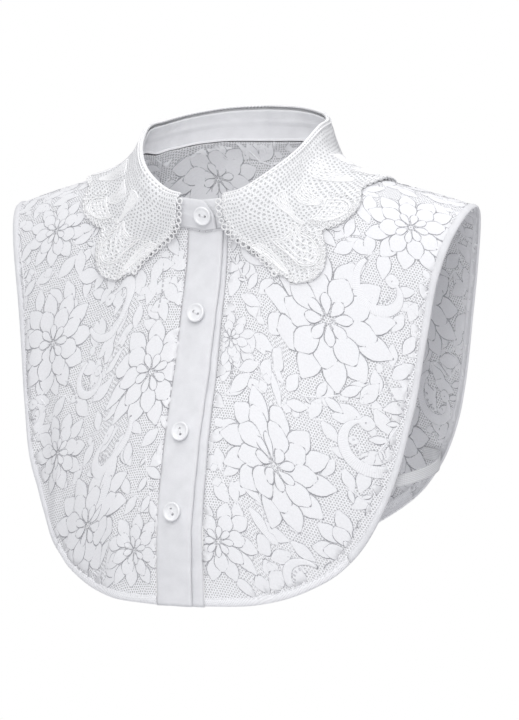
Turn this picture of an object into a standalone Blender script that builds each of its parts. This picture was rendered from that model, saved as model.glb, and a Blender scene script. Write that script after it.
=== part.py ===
# Lace collar on a detachable half blouse, open-sided, worn form with no wearer.
# Metres, +Z up, front faces -Y, the wearer's left is +X.
# The origin is in the middle of the neck, a little under the height of the side neck points.

import math

import bmesh
import bpy
from mathutils import Vector

# Sizes in millimetres, turned into metres where points are made

MM = 0.001
SEAM_GAP = 0.5
LACE_THICK = 1.1
BAND_THICK = 1.9
BAND_WIDTH = 5.5
BACK_BAND_WIDTH = 8.0
HEM_WIDTH = 4.5
BACK_HEM_WIDTH = 8.0
STAND_THICK = 1.5
FALL_THICK = 1.5
PLACKET_THICK = 1.5
PLACKET_HALF = 12.5
PLACKET_DROP = 0.01
UNDER_LEVEL = -2.1
UNDER_LEFT = (-10.5, -6.0)
UNDER_RIGHT = (14.5, 20.0)
OVERLAP_FADE = 34.0
# Where the fronts and the back end beside the middle, at the neck and at the hem
RIGHT_STOP = (PLACKET_HALF + SEAM_GAP, PLACKET_HALF + SEAM_GAP)
LEFT_STOP = (UNDER_RIGHT[0] + SEAM_GAP, UNDER_RIGHT[1] + SEAM_GAP)
NO_STOP = (0.0, 0.0)

BUTTON_RADIUS = 6.0
BUTTON_THICK = 2.6
BUTTON_HOLE_RADIUS = 0.85
BUTTON_HOLE_OFFSET = 1.75
STRAP_WIDTH = 7.5
STRAP_THICK = 1.1
FRONT_ROLL = 60.0
FRONT_POWER = 1.7
BACK_POWER = 2.0
SIDE_REACH = 150.0
RIDGE_SPLIT = 0.006

# Where along the outer edge the bound armhole ends and the hem starts, 0 at the shoulder
# tip and 1 at the middle, and how fast the width changes there
CORNER_SHARE = 0.69
BACK_CORNER_SHARE = 0.66
CORNER_BLEND = 12.0
CORNER_SPLIT = 0.0012
SHOULDER_BLEND = 6.0
BAND_LEVEL = -0.4
BACK_EDGE_GAP = 0.8
FRONT_SPREAD = 0.95

# Stand: turns where it starts and ends, and how far its ends lap under and over
STAND_START = -10.0
STAND_END = 368.0
STAND_LAP_IN = -1.7
STAND_LAP_OUT = 0.9
STAND_ROUND = 9.0
STAND_ROUND_DROP = 0.55
STAND_BOW = 1.0
STAND_MIDDLE = 4.0
SIDE_LIFT = 0.7
SIDE_LIFT_TURN = 82.0
SIDE_LIFT_SPREAD = 30.0
BUTTON_TURN = 361.5

# Lace collar: turn where its front end starts, and how far it lies off the panels
FALL_START = 15.0
FALL_LEVEL = 2.2
FALL_FRONT_LEVEL = 3.4
FALL_FRONT_LIFT = 1.6
FALL_REST_START = 0.26

# The worn form at each height: how far forward or back the cloth stands at the
# middle and at the sides.
# height, front middle, front side, back middle, back side
BODY = (
    (60, -26, -12, 40, 30),
    (17, -29, -13, 47, 32),
    (-20, -31.5, -13.5, 58, 35),
    (-40, -33, -14.5, 63, 36),
    (-60, -35, -15, 68, 37),
    (-90, -42, -16, 71.5, 40),
    (-120, -49, -17.5, 73, 42.5),
    (-163, -61, -18.5, 71, 44),
    (-212, -71, -17, 65, 44),
    (-245, -72.5, -15, 61, 43.5),
    (-300, -70, -12, 58, 42),
)

# The line along the top of the shoulder, and inside the neck the line it grows from.
# across, height, forward or back, height of the roll over the back
RIDGE = (
    (0, 30, 0, 22),
    (26, 29, 0, 25),
    (40, 27, 0, 32),
    (50, 22.5, 0, 38),
    (57.5, 15.5, 0, 44),
    (63, 8.5, 0, 50),
    (70, 4.5, 0.5, 54),
    (80, 0.5, 1.5, 58),
    (100, -5.5, 4, 60),
    (140, -15.5, 9.5, 60),
    (170, -24.5, 13, 60),
)

# Neck seam and top of the stand, from the middle front round to the middle back.
# Reach is how far round the shoulder the seam lies, less than nought on the fronts.
# turn in degrees, seam across, seam reach, top across, top back, top height
NECK = (
    (0, 0, -1.15, 0, -37, -19),
    (25, 25, -1.067, 24, -35, -15.5),
    (45, 44, -0.894, 42.5, -29, -4),
    (67, 57, -0.603, 55.5, -16, 10),
    (90, 63, 0.0, 60.5, 0, 24),
    (113, 59, 0.243, 57.5, 16.5, 28.5),
    (135, 48, 0.472, 46.5, 30, 33),
    (158, 26, 0.66, 25, 39.5, 36.8),
    (180, 0, 0.74, 0, 43, 38),
)

# Outer edge of a front, from the shoulder tip down the armhole, round the corner
# and along the hem to the middle.
# across, height
FRONT_EDGE = (
    (167.5, -22),
    (164.5, -29),
    (158, -46.5),
    (151.5, -70),
    (147, -96),
    (143.5, -118),
    (140, -141),
    (135.5, -160),
    (130.5, -181),
    (124, -200),
    (115, -219.5),
    (105, -235),
    (91, -248.5),
    (75, -257.5),
    (56, -264.5),
    (34, -268.5),
    (0, -270),
)

# Outer edge of the back, from the shoulder tip to the middle of the hem.
# across, height
BACK_EDGE = (
    (167.5, -22),
    (163.3, -35.6),
    (158, -55.5),
    (151, -84.5),
    (146, -110),
    (141, -135),
    (135, -157),
    (125, -179),
    (111, -198),
    (98.5, -209),
    (81, -220),
    (62.5, -229.5),
    (35, -238),
    (0, -241),
)

# Outer edge of the lace collar: rounded point, then one shallow scallop after another.
# turn in degrees, across, height, on the back
FALL_EDGE = (
    (15, 51, -65.5, False),
    (19, 61, -69.5, False),
    (23, 71, -70, False),
    (27, 78.5, -67, False),
    (32, 83, -60, False),
    (38, 83.5, -50, False),
    (43, 80.5, -41.5, False),
    (47, 80, -37.5, False),
    (52, 87.5, -35, False),
    (58, 96, -29.5, False),
    (64, 100.5, -22.5, False),
    (71, 99, -13, False),
    (79, 104.5, -9.5, False),
    (88, 108, -7.6, False),
    (98, 107.5, -10, True),
    (107, 99, -14, True),
    (115, 96, -21, True),
    (123, 87, -26, True),
    (131, 74, -23, True),
    (139, 65, -24, True),
    (148, 52, -24.5, True),
    (157, 37, -17.5, True),
    (168, 20, -20, True),
    (180, 0, -21.5, True),
)

# Soft folds of the fronts and the back: a hill or, where the height is less than
# nought, a trough.
# on the back, across, height of the middle, half width, half length, height
FOLDS = (
    (False, -132, -165, 7, 60, 1.6),
    (False, -117, -185, 7, 50, -1.5),
    (False, -46, -245, 9, 30, 1.6),
    (False, 62, -232, 12, 42, -1.5),
    (False, 112, -150, 10, 60, 1.5),
    (False, -85, -95, 14, 50, -1.4),
    (True, -60, -150, 13, 70, 1.8),
    (True, 25, -170, 12, 60, -1.6),
    (True, 95, -120, 12, 60, 1.6),
)

# Middle of each button; the first is on the stand, whatever its height.
# name, height, on the stand
BUTTONS = (
    ("button_1", -29, True),
    ("button_2", -90, False),
    ("button_3", -163, False),
    ("button_4", -212, False),
)

# Side strap: its front end lies inside the front, its back end inside the back.
# across, height, level of its middle off the panel
STRAP_FRONT = (
    (110, -194.6, -0.9),
    (118, -193.4, -1.4),
    (124.5, -192.2, -2.8),
)
STRAP_BACK = (
    (121.5, -180.2, -2.8),
    (114.5, -179.2, -1.4),
    (107, -178.4, -0.9),
)

# Free part of the side strap between the two.
# across, back, height
STRAP_SIDE = (
    (133.5, -15, -190),
    (137.5, 2, -187),
    (135.5, 20, -184),
    (130, 33.5, -181.8),
)

# Rows of the lace collar over the stand.
# how far down the stand, how far off it, lift over its top
FALL_ROWS = (
    (0.0, -1.1, 1.6),
    (0.0, 1.2, 1.5),
    (0.12, 1.7, 0.0),
    (0.35, 2.4, 0.0),
    (0.62, 2.9, 0.0),
    (0.9, 3.4, 0.0),
    (1.1, 3.6, 0.0),
    (1.3, 3.6, 0.0),
    (1.4, 3.6, 0.0),
    (1.4, 3.6, 0.0),
)


# Helpers


def table_at(rows, key, column):
    """Smooth value of a column between the rows of a table."""
    order = rows if rows[0][0] < rows[-1][0] else rows[::-1]
    last = len(order) - 1
    if key <= order[0][0]:
        return float(order[0][column])
    if key >= order[last][0]:
        return float(order[last][column])
    low = max(i for i in range(last) if order[i][0] <= key)

    def slope(i):
        before, after = max(i - 1, 0), min(i + 1, last)
        return (order[after][column] - order[before][column]) / (order[after][0] - order[before][0])

    step = order[low + 1][0] - order[low][0]
    t = (key - order[low][0]) / step
    rise = (2 * t - 3) * t * t
    return (
        (rise + 1) * order[low][column]
        + ((t - 2) * t + 1) * t * step * slope(low)
        - rise * order[low + 1][column]
        + (t - 1) * t * t * step * slope(low + 1)
    )


def fade(value):
    """Smooth step from 0 to 1."""
    value = min(max(value, 0.0), 1.0)
    return value * value * (3 - 2 * value)


def roll_of(across, back):
    return table_at(RIDGE, abs(across), 3) if back else FRONT_ROLL


def reach_of(across, height, back):
    """How far round the shoulder and down the cloth a height lies: 0 on the ridge, 1 below the roll."""
    drop = max(table_at(RIDGE, abs(across), 1) - height, 0.0)
    roll = roll_of(across, back)
    if drop < roll:
        return math.acos(1 - drop / roll) / (math.pi / 2)
    return drop / roll


def bare_point(across, reach, back):
    """Point of the worn form in millimetres, with no folds."""
    roll = roll_of(across, back)
    turn = min(reach, 1.0) * math.pi / 2
    height = table_at(RIDGE, abs(across), 1) - roll * (1 - math.cos(turn)) - roll * max(reach - 1, 0.0)
    first = 3 if back else 1
    power = BACK_POWER if back else FRONT_POWER
    middle = table_at(BODY, height, first)
    side = table_at(BODY, height, first + 1)
    far = side + (middle - side) * (1 - (abs(across) / SIDE_REACH) ** power)
    ridge = table_at(RIDGE, abs(across), 2)
    return Vector((across, ridge + (far - ridge) * math.sin(turn), height))


def fold_height(across, height, back):
    total = 0.0
    for on_back, x, z, half_wide, half_long, rise in FOLDS:
        if on_back == back:
            spread = ((across - x) / half_wide) ** 2 + ((height - z) / half_long) ** 2
            total += rise * math.exp(-spread)
    return total


def form_point(across, reach, back, level=0.0):
    """Point of the worn form moved out by a level, in millimetres."""
    here = bare_point(across, reach, back)
    beside = bare_point(across + 0.5, reach, back) - bare_point(across - 0.5, reach, back)
    low = max(reach - 0.01, 0.0)
    along = bare_point(across, low + 0.02, back) - bare_point(across, low, back)
    out = beside.cross(along).normalized()
    if not back:
        out = out if out.y < 0.3 else -out
    elif out.y < -0.3:
        out = -out
    if out.z < -0.5:
        out = -out
    return here + out * (level + fold_height(across, here.z, back)), out


def edge_curve(rows, back):
    """Outer edge as (share of its length, across, height)."""
    places = [bare_point(x, reach_of(x, z, back), back) for x, z in rows]
    run = [0.0]
    for a, b in zip(places, places[1:]):
        run.append(run[-1] + (b - a).length)
    return tuple((run[i] / run[-1], *rows[i]) for i in range(len(rows)))


FRONT_CURVE = edge_curve(FRONT_EDGE, False)
BACK_CURVE = edge_curve(BACK_EDGE, True)


def seam_at(turn):
    """Across and signed reach of the neck seam; turn is 0 at the middle front and 180 at the middle back."""
    return table_at(NECK, turn, 1), table_at(NECK, turn, 2)


def ray_point(share, along, back, stop):
    """Across and reach: share goes round from the shoulder to the middle, along from neck to edge.

    stop holds where the panel ends beside the middle, at the neck and at the hem.
    """
    turn = 90 + 90 * share if back else 90 - 90 * share
    neck_x, neck_r = seam_at(turn)
    curve = BACK_CURVE if back else FRONT_CURVE
    neck_x = stop[0] + neck_x * (NECK[4][1] - stop[0]) / NECK[4][1]
    edge_x = stop[1] + table_at(curve, share, 1) * (FRONT_EDGE[0][0] - stop[1]) / FRONT_EDGE[0][0]
    edge_r = reach_of(edge_x, table_at(curve, share, 2), back)
    if not back:
        neck_r = -table_at(NECK, turn_of_across(neck_x), 2)
    split = RIDGE_SPLIT * (1 - fade(share * CORNER_BLEND))
    across = neck_x + (edge_x - neck_x) * along
    return across, max(neck_r + (edge_r - neck_r) * along, split)


def turn_of_across(across):
    """Turn at which the neck seam of the fronts is so far from the middle."""
    low, high = 0.0, 90.0
    for _ in range(30):
        mid = (low + high) / 2
        if table_at(NECK, mid, 1) < across:
            low = mid
        else:
            high = mid
    return low


def under_drop(across, back, side, stop):
    """The left front sinks under the right one beside the plackets."""
    if back or side < 0:
        return 0.0
    return UNDER_LEVEL * (1 - fade((across - stop[0]) / OVERLAP_FADE))


def panel_place(share, along, back, side, stop):
    across, reach = ray_point(share, along, back, stop)
    point, _ = form_point(side * across, reach, back, under_drop(across, back, side, stop))
    return point


def ray_length(share, back, side, stop):
    """Length of a ray, from its last tenth."""
    near = panel_place(share, 0.9, back, side, stop)
    far = panel_place(share, 1.0, back, side, stop)
    return (far - near).length * 10


def material(name, colour, roughness):
    made = bpy.data.materials.new(name)
    made.use_nodes = True
    shader = made.node_tree.nodes["Principled BSDF"]
    shader.inputs["Base Color"].default_value = (*colour, 1.0)
    shader.inputs["Roughness"].default_value = roughness
    return made


def outward_ok(mesh, centre_of):
    """True if most faces look away from the middle of the worn form."""
    score = 0.0
    for face in mesh.faces:
        middle = face.calc_center_median()
        score += face.normal.dot(middle - centre_of(middle)) * face.calc_area()
    return score > 0


def default_centre(point):
    return Vector((0.0, 0.0, point.z - 0.03))


def sheet(name, columns, rows, place, thick, skin, centre_of=default_centre, offset=1.0):
    """Grid of columns by rows, each corner put in place, then made a solid wall."""
    grid = bmesh.new()
    bmesh.ops.create_grid(grid, x_segments=columns, y_segments=rows, size=0.5)
    for vert in grid.verts:
        vert.co = place(vert.co.x + 0.5, vert.co.y + 0.5) * MM
    grid.normal_update()
    if not outward_ok(grid, centre_of):
        bmesh.ops.reverse_faces(grid, faces=grid.faces)
    mesh = bpy.data.meshes.new(name)
    grid.to_mesh(mesh)
    grid.free()
    item = bpy.data.objects.new(name, mesh)
    garment.objects.link(item)
    wall = item.modifiers.new("wall", "SOLIDIFY")
    wall.thickness = thick * MM
    wall.offset = offset
    wall.use_even_offset = True
    mesh.materials.append(skin)
    return item


# Panels


def inner_edge(width, share, back, side, stop):
    """How far along a ray a band of that width begins."""
    return 1 - width / ray_length(share, back, side, stop)


def front_panel(name, side, stop):
    def place(u, v):
        share = u ** FRONT_SPREAD
        corner = fade((share - CORNER_SHARE) * CORNER_BLEND + 0.5)
        width = BAND_WIDTH + (HEM_WIDTH - BAND_WIDTH) * corner
        top = inner_edge(width + SEAM_GAP, share, False, side, stop)
        return panel_place(share, v * top, False, side, stop)

    return sheet(name, 22, 13, place, LACE_THICK, lace)


def back_panel():
    def place(u, v):
        side = -1 if u < 0.5 else 1
        share = 1 - abs(2 * u - 1)
        top = inner_edge(BACK_BAND_WIDTH + BACK_EDGE_GAP, share, True, side, NO_STOP)
        return panel_place(share, v * top, True, side, NO_STOP)

    return sheet("back_panel", 38, 13, place, LACE_THICK, lace)


def binding(name, side, stop):
    """Bound edge from the front corner up over the shoulder tip and down to the back corner."""

    def place(u, v):
        back = u > 0.5
        if back:
            share = (2 * u - 1) * BACK_CORNER_SHARE
            width = BACK_BAND_WIDTH
        else:
            share = (1 - 2 * u) * CORNER_SHARE
            width = BAND_WIDTH
        width += (BAND_WIDTH - width) * (1 - fade(share * SHOULDER_BLEND))
        held = NO_STOP if back else stop
        inner = inner_edge(width, share, back, side, held)
        return bound_place(share, inner + (1 - inner) * v, back, side, held)

    return sheet(name, 52, 1, place, BAND_THICK, cotton)


def bound_place(share, along, back, side, stop):
    """Point of a bound edge; the band closes over the shoulder ridge with no split."""
    across, reach = ray_point(share, along, back, stop)
    if share < 0.001:
        reach = 0.0
    level = BAND_LEVEL + under_drop(across, back, side, stop)
    point, _ = form_point(side * across, reach, back, level)
    return point


def hem(name, side, stop):
    def place(u, v):
        start = CORNER_SHARE + CORNER_SPLIT
        share = start + (1 - start) * u
        inner = inner_edge(HEM_WIDTH, share, False, side, stop)
        return bound_place(share, inner + (1 - inner) * v, False, side, stop)

    return sheet(name, 12, 1, place, BAND_THICK, lace)


def back_hem():
    def place(u, v):
        side = -1 if u < 0.5 else 1
        start = BACK_CORNER_SHARE + CORNER_SPLIT
        share = start + (1 - start) * (1 - abs(2 * u - 1))
        inner = inner_edge(BACK_HEM_WIDTH, share, True, side, NO_STOP)
        return bound_place(share, inner + (1 - inner) * v, True, side, NO_STOP)

    return sheet("hem_back", 26, 1, place, BAND_THICK, lace)


# Plackets


def placket(name, left, right, level):
    """Strip down the middle front; left and right hold where its edges are at the neck and the hem."""
    foot = reach_of(0, FRONT_EDGE[-1][1], False)

    def place(u, v):
        a = left[0] + (left[1] - left[0]) * v
        b = right[0] + (right[1] - right[0]) * v
        across = a + (b - a) * u
        seam = PLACKET_DROP - table_at(NECK, turn_of_across(abs(across)), 2)
        reach = seam + (foot - seam) * v
        point, _ = form_point(across, reach, False, level)
        return point

    return sheet(name, 3, 22, place, PLACKET_THICK, cotton)


# Stand and lace collar


def seam_point(turn):
    """Neck seam in the round: turn from 0 to 360, on the left side up to 180."""
    half = turn if turn <= 180 else 360 - turn
    side = 1 if turn <= 180 else -1
    if half < 0:
        half, side = -half, -side
    across, reach = seam_at(half)
    point, out = form_point(side * across, abs(reach), reach > 0)
    side_lift = SIDE_LIFT * (1 - min(abs(half - SIDE_LIFT_TURN) / SIDE_LIFT_SPREAD, 1))
    lift = SEAM_GAP + LACE_THICK * max(out.z, 0.0) + side_lift
    return point + Vector((0.0, 0.0, lift)), side, half


def top_point(side, half):
    return Vector((side * table_at(NECK, half, 3), table_at(NECK, half, 4), table_at(NECK, half, 5)))


def stand_place(turn, up, level):
    base, side, half = seam_point(turn)
    top = top_point(side, half)
    point = base + (top - base) * up
    away = Vector((point.x, point.y - STAND_MIDDLE, 0.0)).normalized()
    return point + away * (level + STAND_BOW * math.sin(math.pi * up))


def collar_stand():
    def place(u, v):
        turn = STAND_START + (STAND_END - STAND_START) * u
        level = STAND_LAP_IN * (1 - fade((turn + 2) / 40)) + STAND_LAP_OUT * fade((turn - 318) / 34)
        near = min(turn - STAND_START, STAND_END - turn)
        short = max(1 - near / STAND_ROUND, 0.0)
        return stand_place(turn, v * (1 - STAND_ROUND_DROP * short * short), level)

    return sheet("collar_stand", 72, 2, place, STAND_THICK, cotton, stand_centre)


def stand_centre(point):
    return Vector((0.0, STAND_MIDDLE * MM, point.z))


def fall_edge_reach():
    """Outer edge of the collar as (turn, across, signed reach)."""
    return tuple(
        (turn, x, reach_of(x, z, back) * (1 if back else -1)) for turn, x, z, back in FALL_EDGE
    )


FALL_CURVE = fall_edge_reach()


def fall_body(side, half, share, level):
    """Point over the fronts or the back, share from the neck seam to the scalloped edge."""
    edge_x = table_at(FALL_CURVE, half, 1)
    edge_r = table_at(FALL_CURVE, half, 2)
    seam_x, seam_r = seam_at(half)
    across = seam_x + (edge_x - seam_x) * share
    reach = seam_r + (edge_r - seam_r) * share
    point, _ = form_point(side * across, abs(reach), reach > 0, level)
    return point


def fall_place(turn, row):
    """Point of the lace collar: rows run from the fold over the stand down to the scalloped edge."""
    half = turn if turn <= 180 else 360 - turn
    side = 1 if turn <= 180 else -1
    over_top, out, lift = FALL_ROWS[row]
    near = stand_place(turn, 1 - over_top, STAND_THICK + out)
    if over_top == 0:
        near.z = top_point(side, half).z + lift
        return near
    off = (near - stand_place(turn, 1 - over_top, 0.0)).normalized()
    near += off * (FALL_FRONT_LIFT * (1 - fade((half - 30) / 30)))
    down = (row - 1) / (len(FALL_ROWS) - 2)
    over = fade((down - 0.2) / 0.3)
    share = max(down - FALL_REST_START, 0.0) / (1 - FALL_REST_START)
    rest = FALL_LEVEL + FALL_FRONT_LEVEL * (1 - fade(share / 0.6))
    far = fall_body(side, half, share, rest)
    return near + (far - near) * over


def lace_collar():
    def place(u, v):
        turn = FALL_START + (360 - 2 * FALL_START) * u
        return fall_place(turn, round(v * (len(FALL_ROWS) - 1)))

    return sheet("lace_collar", 76, len(FALL_ROWS) - 1, place, FALL_THICK, guipure, stand_centre)


# Buttons


def button(name, height, on_stand):
    if on_stand:
        here = stand_place(BUTTON_TURN, 0.5, STAND_LAP_OUT)
        above = stand_place(BUTTON_TURN, 0.6, STAND_LAP_OUT)
        ahead = stand_place(BUTTON_TURN + 2, 0.5, STAND_LAP_OUT)
        beside = ahead - stand_place(BUTTON_TURN - 2, 0.5, STAND_LAP_OUT)
        out = beside.cross(above - here).normalized()
        out = out if out.y < 0 else -out
        here = here + out * (STAND_THICK + SEAM_GAP)
    else:
        reach = reach_of(0, height, False)
        here, out = form_point(0, reach, False, PLACKET_THICK + SEAM_GAP)
    half = BUTTON_THICK / 2
    profile = (
        (0.0, -half),
        (BUTTON_RADIUS * 0.72, -half),
        (BUTTON_RADIUS, -half * 0.2),
        (BUTTON_RADIUS, half * 0.55),
        (BUTTON_RADIUS * 0.9, half),
        (BUTTON_RADIUS * 0.78, half * 0.9),
        (BUTTON_RADIUS * 0.66, half * 0.35),
        (0.0, half * 0.3),
    )
    disc = bmesh.new()
    points = [disc.verts.new((r * MM, 0.0, z * MM)) for r, z in profile]
    edges = [disc.edges.new(pair) for pair in zip(points, points[1:])]
    bmesh.ops.spin(
        disc,
        geom=points + edges,
        cent=(0, 0, 0),
        axis=(0, 0, 1),
        angle=2 * math.pi,
        steps=20,
        use_merge=True,
    )
    bmesh.ops.remove_doubles(disc, verts=disc.verts, dist=0.00001)
    bmesh.ops.recalc_face_normals(disc, faces=disc.faces)
    mesh = bpy.data.meshes.new(name)
    disc.to_mesh(mesh)
    disc.free()
    item = bpy.data.objects.new(name, mesh)
    garment.objects.link(item)
    mesh.materials.append(shell)
    turn = out.to_track_quat("Z", "Y")
    item.rotation_euler = turn.to_euler()
    item.location = (here + out * half) * MM
    for index, sign in enumerate((-1, 1)):
        drill(item, f"{name}_hole_{index + 1}", sign)
    return item


def drill(item, name, sign):
    """Cut one sewing hole through a button."""
    pin = bmesh.new()
    bmesh.ops.create_cone(
        pin,
        cap_ends=True,
        segments=10,
        radius1=BUTTON_HOLE_RADIUS * MM,
        radius2=BUTTON_HOLE_RADIUS * MM,
        depth=BUTTON_THICK * 3 * MM,
    )
    mesh = bpy.data.meshes.new(name)
    pin.to_mesh(mesh)
    pin.free()
    cutter = bpy.data.objects.new(name, mesh)
    cutters.objects.link(cutter)
    cutter.hide_render = True
    cutter.display_type = "WIRE"
    turned = Vector((0.0, sign * BUTTON_HOLE_OFFSET * MM, 0.0))
    turned.rotate(item.rotation_euler)
    cutter.rotation_euler = item.rotation_euler
    cutter.location = item.location + turned
    cut = item.modifiers.new(name, "BOOLEAN")
    cut.operation = "DIFFERENCE"
    cut.solver = "EXACT"
    cut.object = cutter


# Straps


def strap_rows(side, up):
    """Rows of the strap, that high over its middle: the sewn ends follow the panels."""
    rows = []
    for part, back in ((STRAP_FRONT, False), (STRAP_SIDE, None), (STRAP_BACK, True)):
        for row in part:
            if back is None:
                point = Vector((side * row[0], row[1], row[2] + up))
            else:
                reach = reach_of(row[0], row[1] + up, back)
                point, _ = form_point(side * row[0], reach, back, row[2])
            rows.append(point)
    return tuple((i / (len(rows) - 1), *point) for i, point in enumerate(rows))


def strap(name, side):
    def place(u, v):
        rows = strap_rows(side, (v - 0.5) * STRAP_WIDTH)
        return Vector([table_at(rows, u, column) for column in (1, 2, 3)])

    return sheet(name, 18, 1, place, STRAP_THICK, elastic, strap_centre, 0.0)


def strap_centre(point):
    return Vector((0.0, point.y, point.z))


# The garment

for old in list(bpy.data.objects):
    bpy.data.objects.remove(old, do_unlink=True)

garment = bpy.data.collections.new("lace_collar_garment")
bpy.context.scene.collection.children.link(garment)
cutters = bpy.data.collections.new("cutters")
bpy.context.scene.collection.children.link(cutters)

lace = material("stretch_lace", (0.83, 0.84, 0.86), 0.8)
guipure = material("guipure_lace", (0.90, 0.90, 0.91), 0.75)
cotton = material("cotton_poplin", (0.88, 0.89, 0.91), 0.8)
elastic = material("elastic_tape", (0.85, 0.86, 0.88), 0.8)
shell = material("button_resin", (0.86, 0.87, 0.90), 0.3)

front_panel("front_left", 1, LEFT_STOP)
front_panel("front_right", -1, RIGHT_STOP)
back_panel()
binding("armhole_binding_left", 1, LEFT_STOP)
binding("armhole_binding_right", -1, RIGHT_STOP)
hem("hem_front_left", 1, LEFT_STOP)
hem("hem_front_right", -1, RIGHT_STOP)
back_hem()
placket("placket_top", (-PLACKET_HALF, -PLACKET_HALF), (PLACKET_HALF, PLACKET_HALF), 0.0)
placket("placket_under", UNDER_LEFT, UNDER_RIGHT, UNDER_LEVEL)
collar_stand()
lace_collar()
for button_name, button_height, is_on_stand in BUTTONS:
    button(button_name, button_height, is_on_stand)
strap("side_strap_left", 1)
strap("side_strap_right", -1)
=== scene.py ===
import math

import bmesh
import bpy
import numpy as np
from mathutils import Matrix, Vector


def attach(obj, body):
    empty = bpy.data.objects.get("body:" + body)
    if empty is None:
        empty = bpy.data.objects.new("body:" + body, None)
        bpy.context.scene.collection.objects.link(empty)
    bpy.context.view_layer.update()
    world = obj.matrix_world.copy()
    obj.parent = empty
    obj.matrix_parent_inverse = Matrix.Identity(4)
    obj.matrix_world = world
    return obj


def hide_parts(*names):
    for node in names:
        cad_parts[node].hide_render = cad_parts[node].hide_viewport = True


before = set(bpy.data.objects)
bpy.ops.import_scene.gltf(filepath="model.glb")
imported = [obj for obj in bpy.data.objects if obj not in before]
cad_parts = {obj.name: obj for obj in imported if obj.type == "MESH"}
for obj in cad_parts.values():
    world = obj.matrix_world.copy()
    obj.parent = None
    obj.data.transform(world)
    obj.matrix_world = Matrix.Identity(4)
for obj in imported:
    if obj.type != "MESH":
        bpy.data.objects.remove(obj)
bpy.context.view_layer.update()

MM = 0.001

# Sizes in millimetres of the worn form, the same as the solids have
SEAM_GAP = 0.5
LACE_THICK = 1.1
BAND_WIDTH = 5.5
BACK_BAND_WIDTH = 8.0
HEM_WIDTH = 4.5
BACK_HEM_WIDTH = 8.0
STAND_THICK = 1.5
PLACKET_THICK = 1.5
PLACKET_HALF = 12.5
UNDER_LEVEL = -2.1
UNDER_LEFT = (-10.5, -6.0)
UNDER_RIGHT = (14.5, 20.0)
OVERLAP_FADE = 34.0
RIGHT_STOP = (PLACKET_HALF + SEAM_GAP, PLACKET_HALF + SEAM_GAP)
LEFT_STOP = (UNDER_RIGHT[0] + SEAM_GAP, UNDER_RIGHT[1] + SEAM_GAP)
NO_STOP = (0.0, 0.0)
FRONT_ROLL = 60.0
FRONT_POWER = 1.7
BACK_POWER = 2.0
SIDE_REACH = 150.0
CORNER_SHARE = 0.69
BACK_CORNER_SHARE = 0.66
CORNER_SPLIT = 0.0012
STAND_START = -10.0
STAND_END = 368.0
STAND_LAP_IN = -1.7
STAND_LAP_OUT = 0.9
STAND_ROUND = 9.0
STAND_MIDDLE = 4.0
BUTTON_TURN = 361.5
BUTTON_THICK = 2.6
FALL_START = 15.0
FALL_LEVEL = 2.2
FALL_FRONT_LEVEL = 3.4
FALL_FRONT_LIFT = 1.6
FALL_REST_START = 0.26
STRAP_WIDTH = 7.5

# height, front middle, front side, back middle, back side
BODY = (
    (60, -26, -12, 40, 30),
    (17, -29, -13, 47, 32),
    (-20, -31.5, -13.5, 58, 35),
    (-40, -33, -14.5, 63, 36),
    (-60, -35, -15, 68, 37),
    (-90, -42, -16, 71.5, 40),
    (-120, -49, -17.5, 73, 42.5),
    (-163, -61, -18.5, 71, 44),
    (-212, -71, -17, 65, 44),
    (-245, -72.5, -15, 61, 43.5),
    (-300, -70, -12, 58, 42),
)

# across, height, forward or back, height of the roll over the back
RIDGE = (
    (0, 30, 0, 22),
    (26, 29, 0, 25),
    (40, 27, 0, 32),
    (50, 22.5, 0, 38),
    (57.5, 15.5, 0, 44),
    (63, 8.5, 0, 50),
    (70, 4.5, 0.5, 54),
    (80, 0.5, 1.5, 58),
    (100, -5.5, 4, 60),
    (140, -15.5, 9.5, 60),
    (170, -24.5, 13, 60),
)

# turn, seam across, seam reach, top across, top back, top height
NECK = (
    (0, 0, -1.15, 0, -37, -19),
    (25, 25, -1.067, 24, -35, -15.5),
    (45, 44, -0.894, 42.5, -29, -4),
    (67, 57, -0.603, 55.5, -16, 10),
    (90, 63, 0.0, 60.5, 0, 24),
    (113, 59, 0.243, 57.5, 16.5, 28.5),
    (135, 48, 0.472, 46.5, 30, 33),
    (158, 26, 0.66, 25, 39.5, 36.8),
    (180, 0, 0.74, 0, 43, 38),
)

# across, height
FRONT_EDGE = (
    (167.5, -22), (164.5, -29), (158, -46.5), (151.5, -70), (147, -96), (143.5, -118),
    (140, -141), (135.5, -160), (130.5, -181), (124, -200), (115, -219.5), (105, -235),
    (91, -248.5), (75, -257.5), (56, -264.5), (34, -268.5), (0, -270),
)
BACK_EDGE = (
    (167.5, -22), (163.3, -35.6), (158, -55.5), (151, -84.5), (146, -110), (141, -135),
    (135, -157), (125, -179), (111, -198), (98.5, -209), (81, -220), (62.5, -229.5),
    (35, -238), (0, -241),
)

# turn in degrees, across, height, on the back
FALL_EDGE = (
    (15, 51, -65.5, False), (19, 61, -69.5, False), (23, 71, -70, False),
    (27, 78.5, -67, False), (32, 83, -60, False), (38, 83.5, -50, False),
    (43, 80.5, -41.5, False), (47, 80, -37.5, False), (52, 87.5, -35, False),
    (58, 96, -29.5, False), (64, 100.5, -22.5, False), (71, 99, -13, False),
    (79, 104.5, -9.5, False), (88, 108, -7.6, False), (98, 107.5, -10, True),
    (107, 99, -14, True), (115, 96, -21, True), (123, 87, -26, True),
    (131, 74, -23, True), (139, 65, -24, True), (148, 52, -24.5, True),
    (157, 37, -17.5, True), (168, 20, -20, True), (180, 0, -21.5, True),
)

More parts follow.
